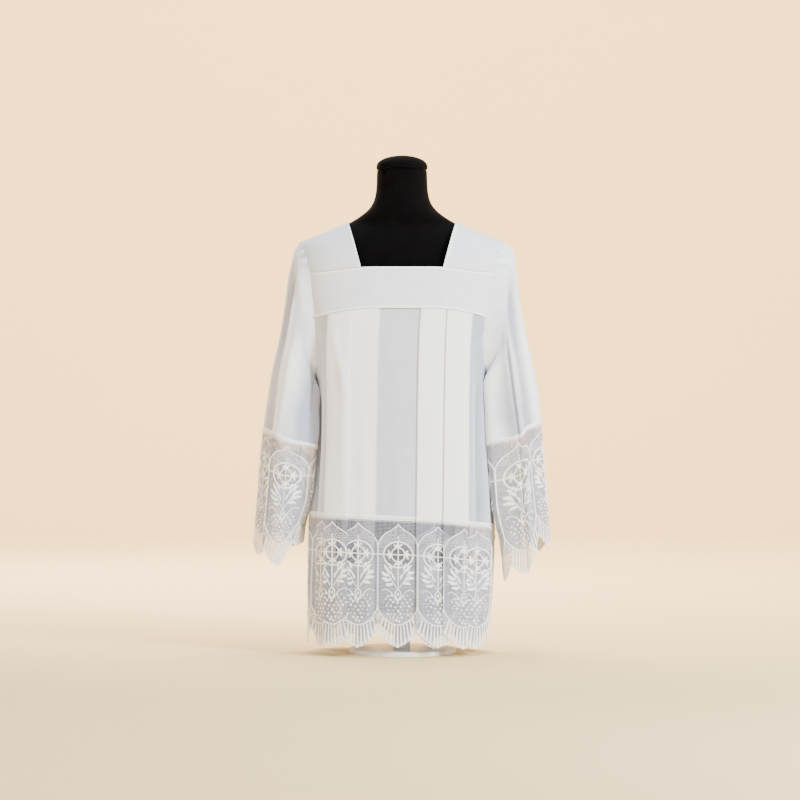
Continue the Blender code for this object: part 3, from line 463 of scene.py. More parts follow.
def motifParts():
    # every raised thread of one repeat; the cord on its left edge serves the next one too
    half, ringAt = lace["repeat"] / 2, lace["ringDown"]
    archX, archDown = np.array(arch, float).T
    lowerX, lowerDown = np.array(lowerCurve[::-1], float).T
    edgeX, topX = np.linspace(-half, half, 89), np.linspace(-half, half, 33)
    parts = []

    def add(line, width, rise, ring=False):
        parts.append(thread(line, width, rise, ring))

    for curve, width in ((arch, 0.0026), (lowerCurve, 0.0028)):
        for side in (curve, mirrored(curve)):
            add(curveThrough(side), width, 0.0014)
    add(np.linspace((-half, 0.052), (-half, 0.192), 48), 0.0030, 0.0015)
    add(ringLine(0, ringAt, lace["ringWide"], lace["ringTall"], 40), 0.0036, 0.0015, ring=True)
    add(ringLine(0, ringAt, lace["innerRing"], lace["innerRing"], 26), 0.0032, 0.0015, ring=True)
    add(np.linspace((-half, ringAt), (half, ringAt), 34), 0.0025, 0.0014)
    add(np.linspace((0, 0.036), (0, 0.153), 40), 0.0027, 0.0014)
    for turn in np.arange(4) * math.pi / 2:  # three leaves in each quarter of the double ring
        for lean, reach, width in ((0, 26.2, 4.6), (-0.42, 24.5, 3.4), (0.42, 24.5, 3.4)):
            root, tip = ([1.06 * out * math.sin(angle), 1000 * ringAt - out * math.cos(angle)]
                         for angle, out in ((turn, 15.5), (turn + lean, reach)))
            parts.append(leafShape(root, tip, width))
    for root, tip, width in leaves:
        for side in (-1, 1):
            parts.append(leafShape((root[0] * side, root[1]), (tip[0] * side, tip[1]), width))
    for mirror in (True, False):
        for line, width in ((((4, 148), (12, 136), (20, 124), (27, 108)), 0.0019),
                            (((0, 178), (9, 168), (18, 158), (30, 152), (38, 157)), 0.0020)):
            add(curveThrough(mirrored(line) if mirror else line), width, 0.0012)
    lozenge = curveThrough([(0, 151), (7, 161), (0, 175), (-7, 161), (0, 151)])[:-1]
    add(lozenge, 0.0026, 0.0014, ring=True)
    parts.append(dot(0, 0.162, 0.0030, 0.0010))
    for down, places in grapes["rows"]:
        for x in sorted({x * side for x in places for side in (-1, 1)}):
            aside, below, size = chance.uniform(-1, 1, 3)
            parts.append(dot((x + 1.7 * aside) / 1000, (down + 1.7 * below) / 1000,
                             grapes["radius"] / 1000 * (0.78 + 0.28 * size), grapes["rise"] / 1000))
    for row, down in enumerate(np.arange(21, 50, 4.6)):  # small dots between the arch and the ring
        for x in np.arange(-40 + 3 * (row % 2), 41, 6):
            inside = down > np.interp(abs(x), archX, archDown) + 4
            clear = (x / 34) ** 2 + ((down - 77) / 31.5) ** 2 > 1
            if inside and clear and abs(x) > 2:
                parts.append(dot(x / 1000, down / 1000, 0.0012, 0.0007, sides=5))
    for ray in range(-5, 6):  # the fan at the scallop
        startX, endX = ray * 7.0, ray * 8.9
        startDown = np.interp(abs(startX), lowerX, lowerDown) + 1.5
        endDown = scallopDown(endX / 1000) * 1000 - 2.5
        add(np.linspace((startX, startDown), (endX, endDown), 9) / 1000, np.linspace(0.0026, 0.0052, 9), 0.0014)
    teeth = 0.0022 * (np.abs(np.sin(np.arange(89) * math.pi / 8)) - 1)
    add(np.column_stack([edgeX, scallopDown(edgeX) - 0.0006 + teeth]), 0.0024, 0.0012)
    add(np.column_stack([edgeX[::3], scallopDown(edgeX[::3]) - 0.0062]), 0.0013, 0.0008)
    for x, down in ((0, 200), (-4.6, 207.5), (4.6, 207.5), (-9, 215), (0, 215), (9, 215)):
        add(ringLine(x / 1000 - half, down / 1000, 0.0030, 0.0030, 10), 0.0013, 0.0008, ring=True)
    add(curveThrough([(-48 - 19, 220), (-48, 221.5), (-48 + 19, 220)]), 0.0016, 0.0009)
    add(np.column_stack([topX, np.full(33, 0.0016)]), 0.0026, 0.0011)
    add(np.column_stack([topX, 0.0052 + 0.0014 * np.cos(np.arange(33) * math.pi)]), 0.0010, 0.0008)
    return parts


def joined(parts):
    points, faces, count = [], [], 0
    for partPoints, partFaces in parts:
        points.append(partPoints)
        faces += [[index + count for index in face] for face in partFaces]
        count += len(partPoints)
    return np.concatenate(points), faces


def repeated(points, faces, middles, first, last):
    # the repeat's threads at each middle, without faces that pass the first or last place
    allPoints, allFaces, count = [], [], 0
    for middle in middles:
        moved = points + [middle, 0, 0]
        inside = (moved[:, 0] >= first - 1e-6) & (moved[:, 0] <= last + 1e-6)
        kept = [[index + count for index in face] for face in faces if inside[face].all()]
        allPoints.append(moved)
        allFaces += kept
        count += len(moved)
    return np.concatenate(allPoints), allFaces


def netParts(first, last, threads):
    # the square net as flat threads between its crossings: points and faces, flat
    mesh, repeat = lace["mesh"], lace["repeat"]
    column, row = np.meshgrid(np.arange(math.floor(first / mesh), math.ceil(last / mesh) + 1),
                              np.arange(0, int(lace["depth"] / mesh) + 1), indexing="ij")
    corners = []
    archX, archDown = np.array(arch, float).T / 1000
    lowerX, lowerDown = np.array(lowerCurve[::-1], float).T / 1000
    for alongX in (True, False):
        start = np.stack([column.ravel(), row.ravel()], axis=1)
        end = start + ([1, 0] if alongX else [0, 1])
        start, end = start * mesh, end * mesh
        middle = (start + end) / 2
        x, endX = ((points[:, 0] + repeat / 2) % repeat - repeat / 2 for points in (middle, end))
        down = middle[:, 1]
        outRing = np.hypot(x / lace["ringWide"], (down - lace["ringDown"]) / lace["ringTall"]) > 1
        inRing = np.hypot(x, down - lace["ringDown"]) < lace["innerRing"]
        above = down < np.interp(np.abs(x), archX, archDown)
        within = (down > np.interp(np.abs(x), archX, archDown)) & (down < np.interp(np.abs(x), lowerX, lowerDown))
        keep = end[:, 1] < np.minimum(scallopDown(x), scallopDown(endX)) - 0.001
        width = np.where(within & outRing, threads["arch"], threads["thread"])
        if alongX:
            keep &= (start[:, 0] < last) & (end[:, 0] > first)
        else:
            width = np.where(above, threads["strong"], width)
        width = np.where(inRing, threads["open"], width)
        width += threads["ends"] * smoothStep((np.abs(middle[:, 0]) - lace["endsFrom"]) / lace["endsOver"])
        start, end, width = start[keep], end[keep], width[keep]
        edge = 0.0 if alongX else width / 2
        for points in (start, end):
            points[:, 0] = np.clip(points[:, 0], first + edge, last - edge)
        shift = np.array([0, 1] if alongX else [1, 0]) * width[:, None] / 2
        flat = np.stack([start - shift, end - shift, end + shift, start + shift], axis=1).reshape(-1, 2)
        corners.append(np.column_stack([flat, np.full(len(flat), lace["lift"] / 2 if alongX else 0.0)]))
    corners = np.concatenate(corners)
    _, kept, back = np.unique(np.round(corners, 6), axis=0, return_index=True, return_inverse=True)
    return corners[kept], back.reshape(-1, 4)


def placedOn(grid, normals, places, downs, flat):
    # flat points (place, down, lift) moved onto a grid of cloth
    column = np.clip(np.searchsorted(places, flat[:, 0]) - 1, 0, len(places) - 2)
    row = np.clip(np.searchsorted(downs, flat[:, 1]) - 1, 0, len(downs) - 2)
    u = np.clip((flat[:, 0] - places[column]) / (places[column + 1] - places[column]), 0, 1)[:, None]
    v = np.clip((flat[:, 1] - downs[row]) / (downs[row + 1] - downs[row]), 0, 1)[:, None]

    def mixed(values):
        top = values[row, column] * (1 - u) + values[row, column + 1] * u
        bottom = values[row + 1, column] * (1 - u) + values[row + 1, column + 1] * u
        return top * (1 - v) + bottom * v

    normal = mixed(normals)
    normal /= np.linalg.norm(normal, axis=1, keepdims=True)
    return mixed(grid) + normal * flat[:, 2:3]


def makeLace(name, grid, normals, places, downs, first, last, look, threads):
    # the net and the raised motif of one length of lace, which stands for the node of that name
    stretch, shift = look["stretch"], look["shift"]
    start, end = (first - shift) / stretch, (last - shift) / stretch
    middles = np.arange(round(start / lace["repeat"]), round(end / lace["repeat"]) + 1) * lace["repeat"]
    for part, (flat, faces), material in (("_net", netParts(start, end, threads), netMaterial),
                                          ("_motif", repeated(*motif, middles, start, end), laceMaterial)):
        flat[:, 0] = flat[:, 0] * stretch + shift
        placed = placedOn(grid, normals, places, downs, flat)
        makeObject(name + part, placed, faces, material, smooth=part == "_motif")
    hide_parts(name)


# Stitches

stitches = {"length": 0.0023, "pitch": 0.0033, "width": 0.00055, "rise": 0.00022}


def stitchLine(line, outward):
    # short raised dashes along a line of points in space, on the side away from outward
    runs = np.linalg.norm(np.diff(line, axis=0), axis=1)
    reach = np.concatenate([[0], np.cumsum(runs)])
    starts = np.arange(stitches["pitch"] / 2, reach[-1] - stitches["length"], stitches["pitch"])
    shares = np.array([0.0, 0.25, 0.75, 1.0])
    widths = np.array([0.35, 1.0, 1.0, 0.35]) * stitches["width"] / 2
    rises = np.array([0.2, 1.0, 1.0, 0.2]) * stitches["rise"]
    at = starts[:, None] + shares * stitches["length"]
    middle = np.stack([np.interp(at, reach, line[:, axis]) for axis in range(3)], axis=-1)
    run = middle[:, 3:] - middle[:, :1]
    away = np.stack([np.interp(at, reach, outward[:, axis]) for axis in range(3)], axis=-1)
    away /= np.linalg.norm(away, axis=2, keepdims=True)
    across = np.cross(run, away)
    across /= np.linalg.norm(across, axis=2, keepdims=True)
    sink = away * 0.0001
    rings = np.stack([middle - across * widths[:, None] - sink, middle + away * rises[:, None],
                      middle + across * widths[:, None] - sink], axis=2)
    count = 3 * len(shares)
    faces = []
    for step in range(len(shares) - 1):
        for side in range(3):
            after = (side + 1) % 3
            faces.append([3 * step + side, 3 * step + after, 3 * step + 3 + after, 3 * step + 3 + side])
    faces = np.array(faces)
    allFaces = (faces + count * np.arange(len(starts))[:, None, None]).reshape(-1, 4).tolist()
    for first in range(0, count * len(starts), count):
        allFaces += [[first, first + 2, first + 1], [first + count - 3, first + count - 2, first + count - 1]]
    return rings.reshape(-1, 3), allFaces


def makeStitches(name, lines):
    points, faces = joined([stitchLine(line, outward) for line, outward in lines])
    return makeObject(name, points, faces, laceMaterial, smooth=False)


# Materials

def nodesOf(name):
    material = bpy.data.materials.new(name)
    material.use_nodes = True
    nodes, links = material.node_tree.nodes, material.node_tree.links
    return material, nodes, links, nodes["Principled BSDF"]


def addNode(nodes, kind, **values):
    # a new node with those properties and input values
    node = nodes.new(kind)
    for key, value in values.items():
        if hasattr(node, key):
            setattr(node, key, value)
        else:
            node.inputs[key].default_value = value
    return node


def addRamp(nodes, links, source, shader, look):
    # colours the shader by a source, from dark at the first place to light at the second
    ramp = nodes.new("ShaderNodeValToRGB")
    for element, place, colour in zip(ramp.color_ramp.elements, look["places"], (look["dark"], look["light"])):
        element.position, element.color = place, (*colour, 1)
    links.new(source, ramp.inputs["Fac"])
    links.new(ramp.outputs["Color"], shader.inputs["Base Color"])


def addRelief(nodes, links, source, shader, strength, depth):
    relief = addNode(nodes, "ShaderNodeBump", Strength=strength, Distance=depth)
    links.new(source, relief.inputs["Height"])
    links.new(relief.outputs["Normal"], shader.inputs["Normal"])


def addRoughness(nodes, links, source, shader, limits):
    rough = nodes.new("ShaderNodeMapRange")
    rough.inputs["To Min"].default_value, rough.inputs["To Max"].default_value = limits
    links.new(source, rough.inputs["Value"])
    links.new(rough.outputs["Result"], shader.inputs["Roughness"])


def addNoise(nodes, links, scale, detail):
    coordinates = nodes.new("ShaderNodeTexCoord").outputs["Object"]
    noise = addNode(nodes, "ShaderNodeTexNoise", Scale=scale, Detail=detail)
    links.new(coordinates, noise.inputs["Vector"])
    return coordinates, noise.outputs["Fac"]


def weaveBump(nodes, links, shader, look):
    # two crossed sets of fine waves, and a slow unevenness over them
    coordinates, noise = addNoise(nodes, links, unevenness["scale"], unevenness["detail"])
    crossed = addNode(nodes, "ShaderNodeMath", operation="MAXIMUM")
    for place, direction in enumerate("XZ"):
        wave = addNode(nodes, "ShaderNodeTexWave", wave_type="BANDS", bands_direction=direction,
                       Scale=look["weave"], Distortion=0.6, Detail=1.0)
        links.new(coordinates, wave.inputs["Vector"])
        links.new(wave.outputs["Fac"], crossed.inputs[place])
    total = addNode(nodes, "ShaderNodeMath", operation="MULTIPLY_ADD")
    links.new(noise, total.inputs[0])
    total.inputs[1].default_value = unevenness["share"]
    links.new(crossed.outputs[0], total.inputs[2])
    addRelief(nodes, links, total.outputs[0], shader, *look["relief"])
    return noise, crossed.outputs[0]


# roughness is one value or the two between which the weave changes it; relief is its strength and depth
unevenness = {"scale": 38.0, "detail": 5.0, "share": 1.6, "shade": 0.24}
# the white cloth's dark end is a painted shade, which the cloth takes where its mesh attribute is low
whiteCloth = {
    "dark": (0.33, 0.365, 0.46), "light": (0.93, 0.95, 0.97), "places": (0.10, 1.0), "roughness": (0.62, 0.82),
    "weave": 900.0, "relief": (0.25, 0.0004), "sheen": 0.25, "sheenRoughness": 0.4,
}
whiteLace = {
    "dark": (0.93, 0.94, 0.96), "light": (0.97, 0.975, 0.98), "places": (0.35, 0.65), "roughness": 0.7,
    "weave": 260.0, "relief": (0.5, 0.0003), "sheen": 0.2,
}
# the net's white threads are coloured bluish grey: a painted shade
netInPaintedShade = {
    "dark": (0.32, 0.34, 0.42), "light": (0.43, 0.45, 0.53), "places": (0.35, 0.65), "roughness": 0.85,
    "weave": 120.0, "relief": (0.2, 0.0003), "sheen": 0.2,
}
blackJersey = {
    "dark": (0.0010, 0.0007, 0.0008), "light": (0.0018, 0.0013, 0.0015), "places": (0.30, 0.75),
    "roughness": (0.8, 0.95), "weave": 420.0, "relief": (0.4, 0.0005), "sheen": 0.01, "specular": 0.05,
}
whiteEnamel = {
    "dark": (0.74, 0.74, 0.73), "light": (0.82, 0.82, 0.81), "places": (0.0, 1.0), "roughness": 0.32,
    "scale": 60.0, "relief": (0.05, 0.0005),
}
backdropPaint = {
    "dark": (0.99, 0.69, 0.32), "light": (1.0, 0.70, 0.33), "places": (0.0, 1.0), "roughness": 0.9,
    "scale": 1.5, "relief": (0.05, 0.0005),
}


def makeMaterial(name, look, backedAndShaded=False):
    # woven and painted materials; backed cloth takes its lightness from an attribute of its mesh: lighter where more of
    # the cloth lies behind it, darker as painted shade in creases, beside the last pleats and on sleeves and shoulders,
    # and lighter as painted highlight on raised ridges
    material, nodes, links, shader = nodesOf(name)
    if "weave" in look:
        shade, crossed = weaveBump(nodes, links, shader, look)
    else:
        _, shade = addNoise(nodes, links, look["scale"], 4.0)
        addRelief(nodes, links, shade, shader, *look["relief"])
    if backedAndShaded:
        backingAndPaintedShade = addNode(nodes, "ShaderNodeAttribute", attribute_name="backingAndPaintedShade", attribute_type="GEOMETRY")
        uneven = addNode(nodes, "ShaderNodeMath", operation="MULTIPLY_ADD")
        links.new(shade, uneven.inputs[0])
        uneven.inputs[1].default_value = unevenness["shade"]
        links.new(backingAndPaintedShade.outputs["Fac"], uneven.inputs[2])
        shade = uneven.outputs[0]
    addRamp(nodes, links, shade, shader, look)
    if isinstance(look["roughness"], tuple):
        addRoughness(nodes, links, crossed, shader, look["roughness"])
    else:
        shader.inputs["Roughness"].default_value = look["roughness"]
    for key, label in (("sheen", "Sheen Weight"), ("sheenRoughness", "Sheen Roughness"),
                       ("specular", "Specular IOR Level")):
        if key in look:
            shader.inputs[label].default_value = look[key]
    return material


clothMaterial = makeMaterial("whiteCloth", whiteCloth, backedAndShaded=True)
laceMaterial = makeMaterial("whiteLace", whiteLace)
netMaterial = makeMaterial("netInPaintedShade", netInPaintedShade)
jerseyMaterial = makeMaterial("blackJersey", blackJersey)
enamel = makeMaterial("whiteEnamel", whiteEnamel)
backdropMaterial = makeMaterial("backdrop", backdropPaint)

# Panels and body lace

chance = np.random.default_rng(7)
motif = joined(motifParts())
middle = np.array([0.0, 0.0, 0.5])
laceDowns = np.linspace(0, 0.282, 60)
stitchRows = {"hem": 0.0062, "yoke": 0.0040}


def makeBody(front):
    side = faceName(front)
    bottom = seams["laceTop"] + cloth["seamGap"] / 2
    heights = np.concatenate([np.linspace(seams["yokeBottom"] - cloth["seamGap"], bottom + 0.016, 46),
                              bottom + np.array(hems["rows"])])
    grid, _, backingAndPaintedShade = bodyGrid(heights, front)
    hem = hemRise(-heights)
    backingAndPaintedShade = np.maximum(backingAndPaintedShade, hem[:, None] / hems["rise"])
    panel = clothShell("panel_cloth_" + side, grid, middle, backingAndPaintedShade, hem)
    outward = gridNormals(grid, middle)
    row = int(np.argmin(np.abs(heights - bottom - stitchRows["hem"])))
    line = grid[row] + outward[row] * (cloth["wall"] / 2 + hem[row])
    shown = backingAndPaintedShade[row] > shades["stitched"]  # only the cloth on top is stitched
    runs = np.split(np.arange(len(shown)), np.flatnonzero(np.diff(shown.astype(int))) + 1)
    sewn = makeStitches("hem_stitches_" + side, [(line[run], outward[row][run]) for run in runs if len(run) > 3])
    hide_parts("panel_" + side)

    grid, places, _ = bodyGrid(seams["laceTop"] - cloth["seamGap"] / 2 - laceDowns, front)
    makeLace("lace_" + side, grid, gridNormals(grid, middle), places, laceDowns, -laceHalf, laceHalf,
             bodyLace, bodyThreads)


for front in (True, False):
    makeBody(front)
print("panels and body lace made")

# Yokes and shoulders

yoke = {
    "out": 0.0030, "ridge": 0.0050, "ridgeFall": 0.0016, "topRidge": 0.0018, "bottomRidge": 0.0036, "taper": 0.10,
    "backingAndPaintedShade": 0.62, "columns": 33, "softness": 0.0005, "edge": 0.0012, "edgeFall": 0.35,
}
yokeRows = np.array([0, 0.0006, 0.0012, 0.0025, 0.0040, 0.0050, 0.0054, 0.0058, 0.0062, 0.0066, 0.0080, 0.0100])
neckHem = {"rise": 0.0010, "width": 0.040, "stitches": 0.036}  # width and stitches are shares of the strip
formMiddle = np.array([0, 0, 0.8])


def archPoints(across, turn, right, front, out=0.0, level=False):
    # at each distance from the centre the shoulder is an arch over the form, from front to back
    _, widths, depths = quarterCurve(seams["yokeTop"], right, front)
    across, turn, out = np.broadcast_arrays(*(np.asarray(v, float) for v in (across, turn, out)))
    depth = np.interp(across, widths, depths)
    rise = ridgeHeight(across) - seams["yokeTop"]
    y, z = depth * np.cos(turn), seams["yokeTop"] + rise * np.sin(turn)
    step = 0.004
    deeper = np.interp(across + step, widths, depths) * np.cos(turn)
    higher = seams["yokeTop"] + (rise - shoulder["ridgeSlope"] * step) * np.sin(turn)
    zero = np.zeros_like(y)
    normal = np.cross(
        np.stack([zero, -depth * np.sin(turn), rise * np.cos(turn)], axis=-1),
        np.stack([zero + step, deeper - y, higher - z], axis=-1),
    )
    if level:
        normal[..., 2] = 0.0
    normal /= np.linalg.norm(normal, axis=-1, keepdims=True)
    place = np.stack([across, y, z], axis=-1) + normal * out[..., None]
    flip = np.array([1 if right else -1, -1 if front else 1, 1])
    return place * flip


def shoulderEdges(turn):
    lift = math.sin(turn)
    neck = shoulder["neckBottom"] + (shoulder["neckTop"] - shoulder["neckBottom"]) * lift
    arm = shoulder["base"] + (shoulder["tip"] - shoulder["base"]) * lift
    return neck, arm


def shoulderPlace(share, step):
    # how far from the centre and round the arch: step is 0 to 1 up the front and 1 to 2 down the back
    if step <= 1:
        neck, arm = shoulderEdges(step * math.pi / 2)
        return neck + (arm - neck) * share, step * math.pi / 2, True
    low, high = 0.0, math.pi / 2
    for _ in range(30):
        turn = (low + high) / 2
        neck, arm = shoulderEdges(turn)
        across = neck + (arm - neck) * share
        reached = seams["yokeTop"] + (ridgeHeight(across) - seams["yokeTop"]) * math.sin(turn)
        low, high = (turn, high) if reached < seams["backYokeTop"] + cloth["seamGap"] else (low, turn)
    turn = math.pi / 2 + (high - math.pi / 2) * (step - 1)
    neck, arm = shoulderEdges(turn)
    return neck + (arm - neck) * share, turn, False


def yokeEnd(height):
    if height <= seams["yokeTop"]:
        along, across, _ = quarterCurve(height, True, True)
        return float(np.interp(curveEnd(height, True, True), along, across))
    across = shoulder["base"]
    for _ in range(20):
        lift = (height - seams["yokeTop"]) / (ridgeHeight(across) - seams["yokeTop"])
        across = shoulder["base"] + (shoulder["tip"] - shoulder["base"]) * lift
    return across


def yokePoints(across, height, right, front, out):
    if height <= seams["yokeTop"]:
        along, widths, _ = quarterCurve(height, right, front)
        return bodyPoints(height, right, front, np.interp(across, widths, along), out)
    lift = (height - seams["yokeTop"]) / (ridgeHeight(across) - seams["yokeTop"])
    return archPoints(across, np.arcsin(np.clip(lift, 0, 1)), right, front, out, level=True)


def ridgeOut(height, top, bottom):
    # the raised sewn edges along the top and bottom of a yoke, with rounded sides
    fall, edge = yoke["ridgeFall"], yoke["edge"]
    upper = yoke["topRidge"] * smoothStep((height - (top - yoke["ridge"] - fall)) / fall)
    lower = yoke["bottomRidge"] * smoothStep(((bottom + yoke["ridge"] + fall) - height) / fall)
    softTop = 1 - yoke["edgeFall"] * smoothStep((height - (top - edge)) / edge)
    softBottom = 1 - yoke["edgeFall"] * smoothStep(((bottom + edge) - height) / edge)
    return upper * softTop, lower * softBottom


def makeYoke(front):
    side = faceName(front)
    top = seams["yokeTop"] - cloth["seamGap"] if front else seams["backYokeTop"]
    bottom = seams["yokeBottom"] + cloth["seamGap"]
    heights = np.concatenate([top - yokeRows, np.linspace(top - 0.014, bottom + 0.014, 22),
                              (bottom + yokeRows)[::-1]])
    shares = np.linspace(0, 1, yoke["columns"])
    taper = smoothStep((1 - shares) / yoke["taper"])
    outer, inner, backingAndPaintedShade = [], [], []
    for height in heights:
        end = yokeEnd(height)
        lift = yoke["out"] * smoothStep((seams["yokeTop"] - height) / (seams["yokeTop"] - seams["yokeBottom"]))
        upper, lower = ridgeOut(height, top, bottom)
        halves = []
        for right in (False, True):
            signed = shares if right else -shares
            soft = yoke["softness"] * np.sin(9 * signed + 60 * height) * np.sin(55 * (height - bottom)) * taper
            inward = (lift + soft) * taper - cloth["wall"] / 2
            outward = (lift + soft) * taper + cloth["wall"] / 2 + (upper + lower) * taper
            halves.append([yokePoints(end * shares, height, right, front, out) for out in (outward, inward)])
        for rows, pair in zip((outer, inner), zip(*halves)):
            rows.append(bothSides(*pair))
        # the yoke's plain cloth has a lower lightness, a painted shade, and its raised sewn ridges are full white, as
        # doubled cloth and as a painted highlight
        raised = max(upper / yoke["topRidge"], lower / yoke["bottomRidge"])
        backingAndPaintedShade.append(np.full(len(outer[-1]), yoke["backingAndPaintedShade"] + (1.0 - yoke["backingAndPaintedShade"]) * raised))
    outer, inner = settled(np.stack(outer)), settled(np.stack(inner))
    piece = shell("yoke_cloth_" + side, outer, inner, np.stack(backingAndPaintedShade))
    away = gridNormals(outer, formMiddle)
    rows = [int(np.argmin(np.abs(heights - at))) for at in (top - stitchRows["yoke"], bottom + stitchRows["yoke"])]
    sewn = makeStitches("yoke_stitches_" + side, [(outer[row, 1:-1], away[row, 1:-1]) for row in rows])
    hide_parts("yoke_" + side)


def makeShoulder(right):
    side = sideName(right)
    steps = np.concatenate([np.linspace(0.003, 1, 34), np.linspace(1, 2, 20)[1:]])
    shares = np.concatenate([[0, 0.012, 0.024, 0.036, 0.048, 0.06], np.linspace(0.09, 1, 18)])
    hem = neckHem["rise"] * (1 - smoothStep((shares - neckHem["width"]) / 0.014))
    hem *= 1 - 0.4 * (1 - smoothStep(shares / 0.010))
    outer, inner = [], []
    for step in steps:
        across, turn, fronts = zip(*(shoulderPlace(share, step) for share in shares))
        for rows, out in ((outer, cloth["wall"] / 2 + hem * smoothStep(step / 0.03)), (inner, -cloth["wall"] / 2)):
            rows.append(archPoints(across, turn, right, fronts[0], out, level=step == 2))
    outer, inner = settled(np.stack(outer)), settled(np.stack(inner))
    # the shoulder's cloth has a lower lightness, a painted shade, and is full white along the doubled neck binding
    light = shades["shoulder"] + (1 - shades["shoulder"]) * (1 - smoothStep((shares - neckHem["width"]) / 0.020))
    piece = shell("shoulder_cloth_" + side, outer, inner, light)
    away = gridNormals(outer, formMiddle)
    column = int(np.argmin(np.abs(shares - neckHem["stitches"])))
    sewn = makeStitches("neck_stitches_" + side, [(outer[1:-1, column], away[1:-1, column])])
    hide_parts("shoulder_" + side)


for front in (True, False):
    makeYoke(front)
for right in (False, True):
    makeShoulder(right)
print("yokes and shoulders made")

# Sleeves

# each ring's outer end, inner end and half its depth from front to back; cuff is the lace's last ring
ringColumns = ("outerX", "outerZ", "innerX", "innerZ", "depth")
sleeveRings = {
    "left": {
        "outerX": (0.237, 0.252, 0.263, 0.275, 0.288, 0.299, 0.309),
        "outerZ": (0.890, 0.842, 0.780, 0.709, 0.629, 0.554, 0.490),
        "innerX": (0.1925, 0.1930, 0.1930, 0.1930, 0.1930, 0.1940, 0.1965),
        "innerZ": (0.596, 0.579, 0.559, 0.536, 0.509, 0.482, 0.456),
        "depth": (0.069, 0.071, 0.075, 0.079, 0.083, 0.086, 0.088),
        "cuff": (0.332, 0.256, 0.2180, 0.246, 0.090),
    },
    "right": {
        "outerX": (0.246, 0.256, 0.265, 0.276, 0.289, 0.300, 0.308),
        "outerZ": (0.890, 0.842, 0.780, 0.709, 0.629, 0.564, 0.504),
        "innerX": (0.1930, 0.1940, 0.1945, 0.1950, 0.1960, 0.1980, 0.2020),
        "innerZ": (0.596, 0.579, 0.559, 0.536, 0.512, 0.490, 0.466),
        "depth": (0.069, 0.071, 0.075, 0.079, 0.083, 0.086, 0.088),
        "cuff": (0.331, 0.236, 0.2240, 0.216, 0.090),
    },
}
# how far the cuffs hang down on the side that faces the turn of left or right, and on the side behind it
cuffDip = {"front": 0.056, "back": 0.016, "left": 72, "right": 140}
# how far the sleeves lean on the body, and how far their cloth slips down beside the front fold
bodyReach = {
    "left": 0.012, "right": 0.013, "turn": 146, "width": 26, "from": 0.02, "over": 0.40, "to": 1.26, "fade": 0.14,
}
seamStep = {
    "left": 0.004, "right": 0.010, "turn": 74, "width": 22, "back": 300, "backWidth": 90, "share": 0.4,
    "from": 0.35, "over": 0.5,
}
# deeper folds: degrees round, depth, width in degrees and the share of the length where they start
sleeveFolds = ((40, 0.007, 16, 0.15), (112, 0.008, 18, 0.25), (235, 0.008, 18, 0.20), (315, 0.006, 16, 0.15))
# soft creases: degrees round from the outer edge towards the front, how many they drift by the seam, how many
# they are wide, how far they rise, and the shares of the length where they start and end
sleeveCreases = {
    "left": (
        (22, 4, 15, -0.0032, 0.05, 1.5),
        (38, 6, 6, -0.0030, 0.10, 1.4),
        (50, 6, 7, 0.0024, 0.15, 1.4),
        (78, -10, 8, 0.0016, 0.40, 1.1),
        (136, -12, 7, -0.0034, 0.18, 1.3),
        (130, -4, 26, -0.0044, 0.10, 1.3),
        (158, -14, 8, 0.0022, 0.08, 0.9),
        (215, 8, 8, -0.0034, 0.15, 1.2),
        (262, -6, 9, 0.0024, 0.30, 1.3),
        (300, 4, 7, -0.0030, 0.12, 1.1),
        (338, 4, 8, 0.0018, 0.25, 1.2),
    ),
    "right": (
        (14, 4, 12, 0.0020, 0.30, 1.5),
        (26, 4, 9, 0.0018, 0.18, 1.3),
        (54, 4, 16, -0.0042, 0.08, 1.3),
        (84, 6, 6, -0.0034, 0.25, 1.5),
        (98, 2, 14, -0.0020, 0.05, 1.4),
        (136, -6, 12, 0.0022, 0.10, 1.3),
        (160, -4, 7, -0.0026, 0.15, 1.2),
        (205, 10, 8, 0.0026, 0.20, 1.2),
        (246, -4, 8, -0.0032, 0.25, 1.3),
        (290, 6, 9, 0.0024, 0.15, 1.2),
        (330, -4, 7, -0.0024, 0.20, 1.1),
    ),
}
creaseFade = {"start": 0.22, "past": 0.15, "end": 0.3, "swell": 0.0009}
gathers = {"rise": 0.0009, "wave": 11.0, "from": -62, "to": 50, "edge": 14, "length": 0.26}
sleeveColumns = 256
sleeveLength = 0.40


def signedTurn(degrees):
    return (degrees + 180) % 360 - 180


def foldDepth(turns, down):
    depth = np.zeros_like(turns)
    for angle, deep, width, starts in sleeveFolds:
        depth += deep * bump(signedTurn(np.degrees(turns) - angle), width) * smoothStep((down - starts) / 0.3)
    return depth


def ringPoints(ring, right, turns, down, dip=0.0):
    outerX, outerZ, innerX, innerZ, depth = ring
    outer, inner = np.array([outerX, 0, outerZ]), np.array([innerX, 0, innerZ])
    center, reach = (outer + inner) / 2, (outer - inner) / 2
    roundIt = np.cos(turns)[:, None] * reach + np.sin(turns)[:, None] * np.array([0, -depth, 0])
    shrink = 1 - foldDepth(turns, down) / np.linalg.norm(roundIt, axis=1)
    points = center + roundIt * shrink[:, None]
    facing = np.cos(turns - math.radians(cuffDip[sideName(right)]))
    points[:, 2] -= dip * (cuffDip["front"] * np.maximum(facing, 0) + cuffDip["back"] * np.maximum(-facing, 0))
    return points * [1 if right else -1, 1, 1]


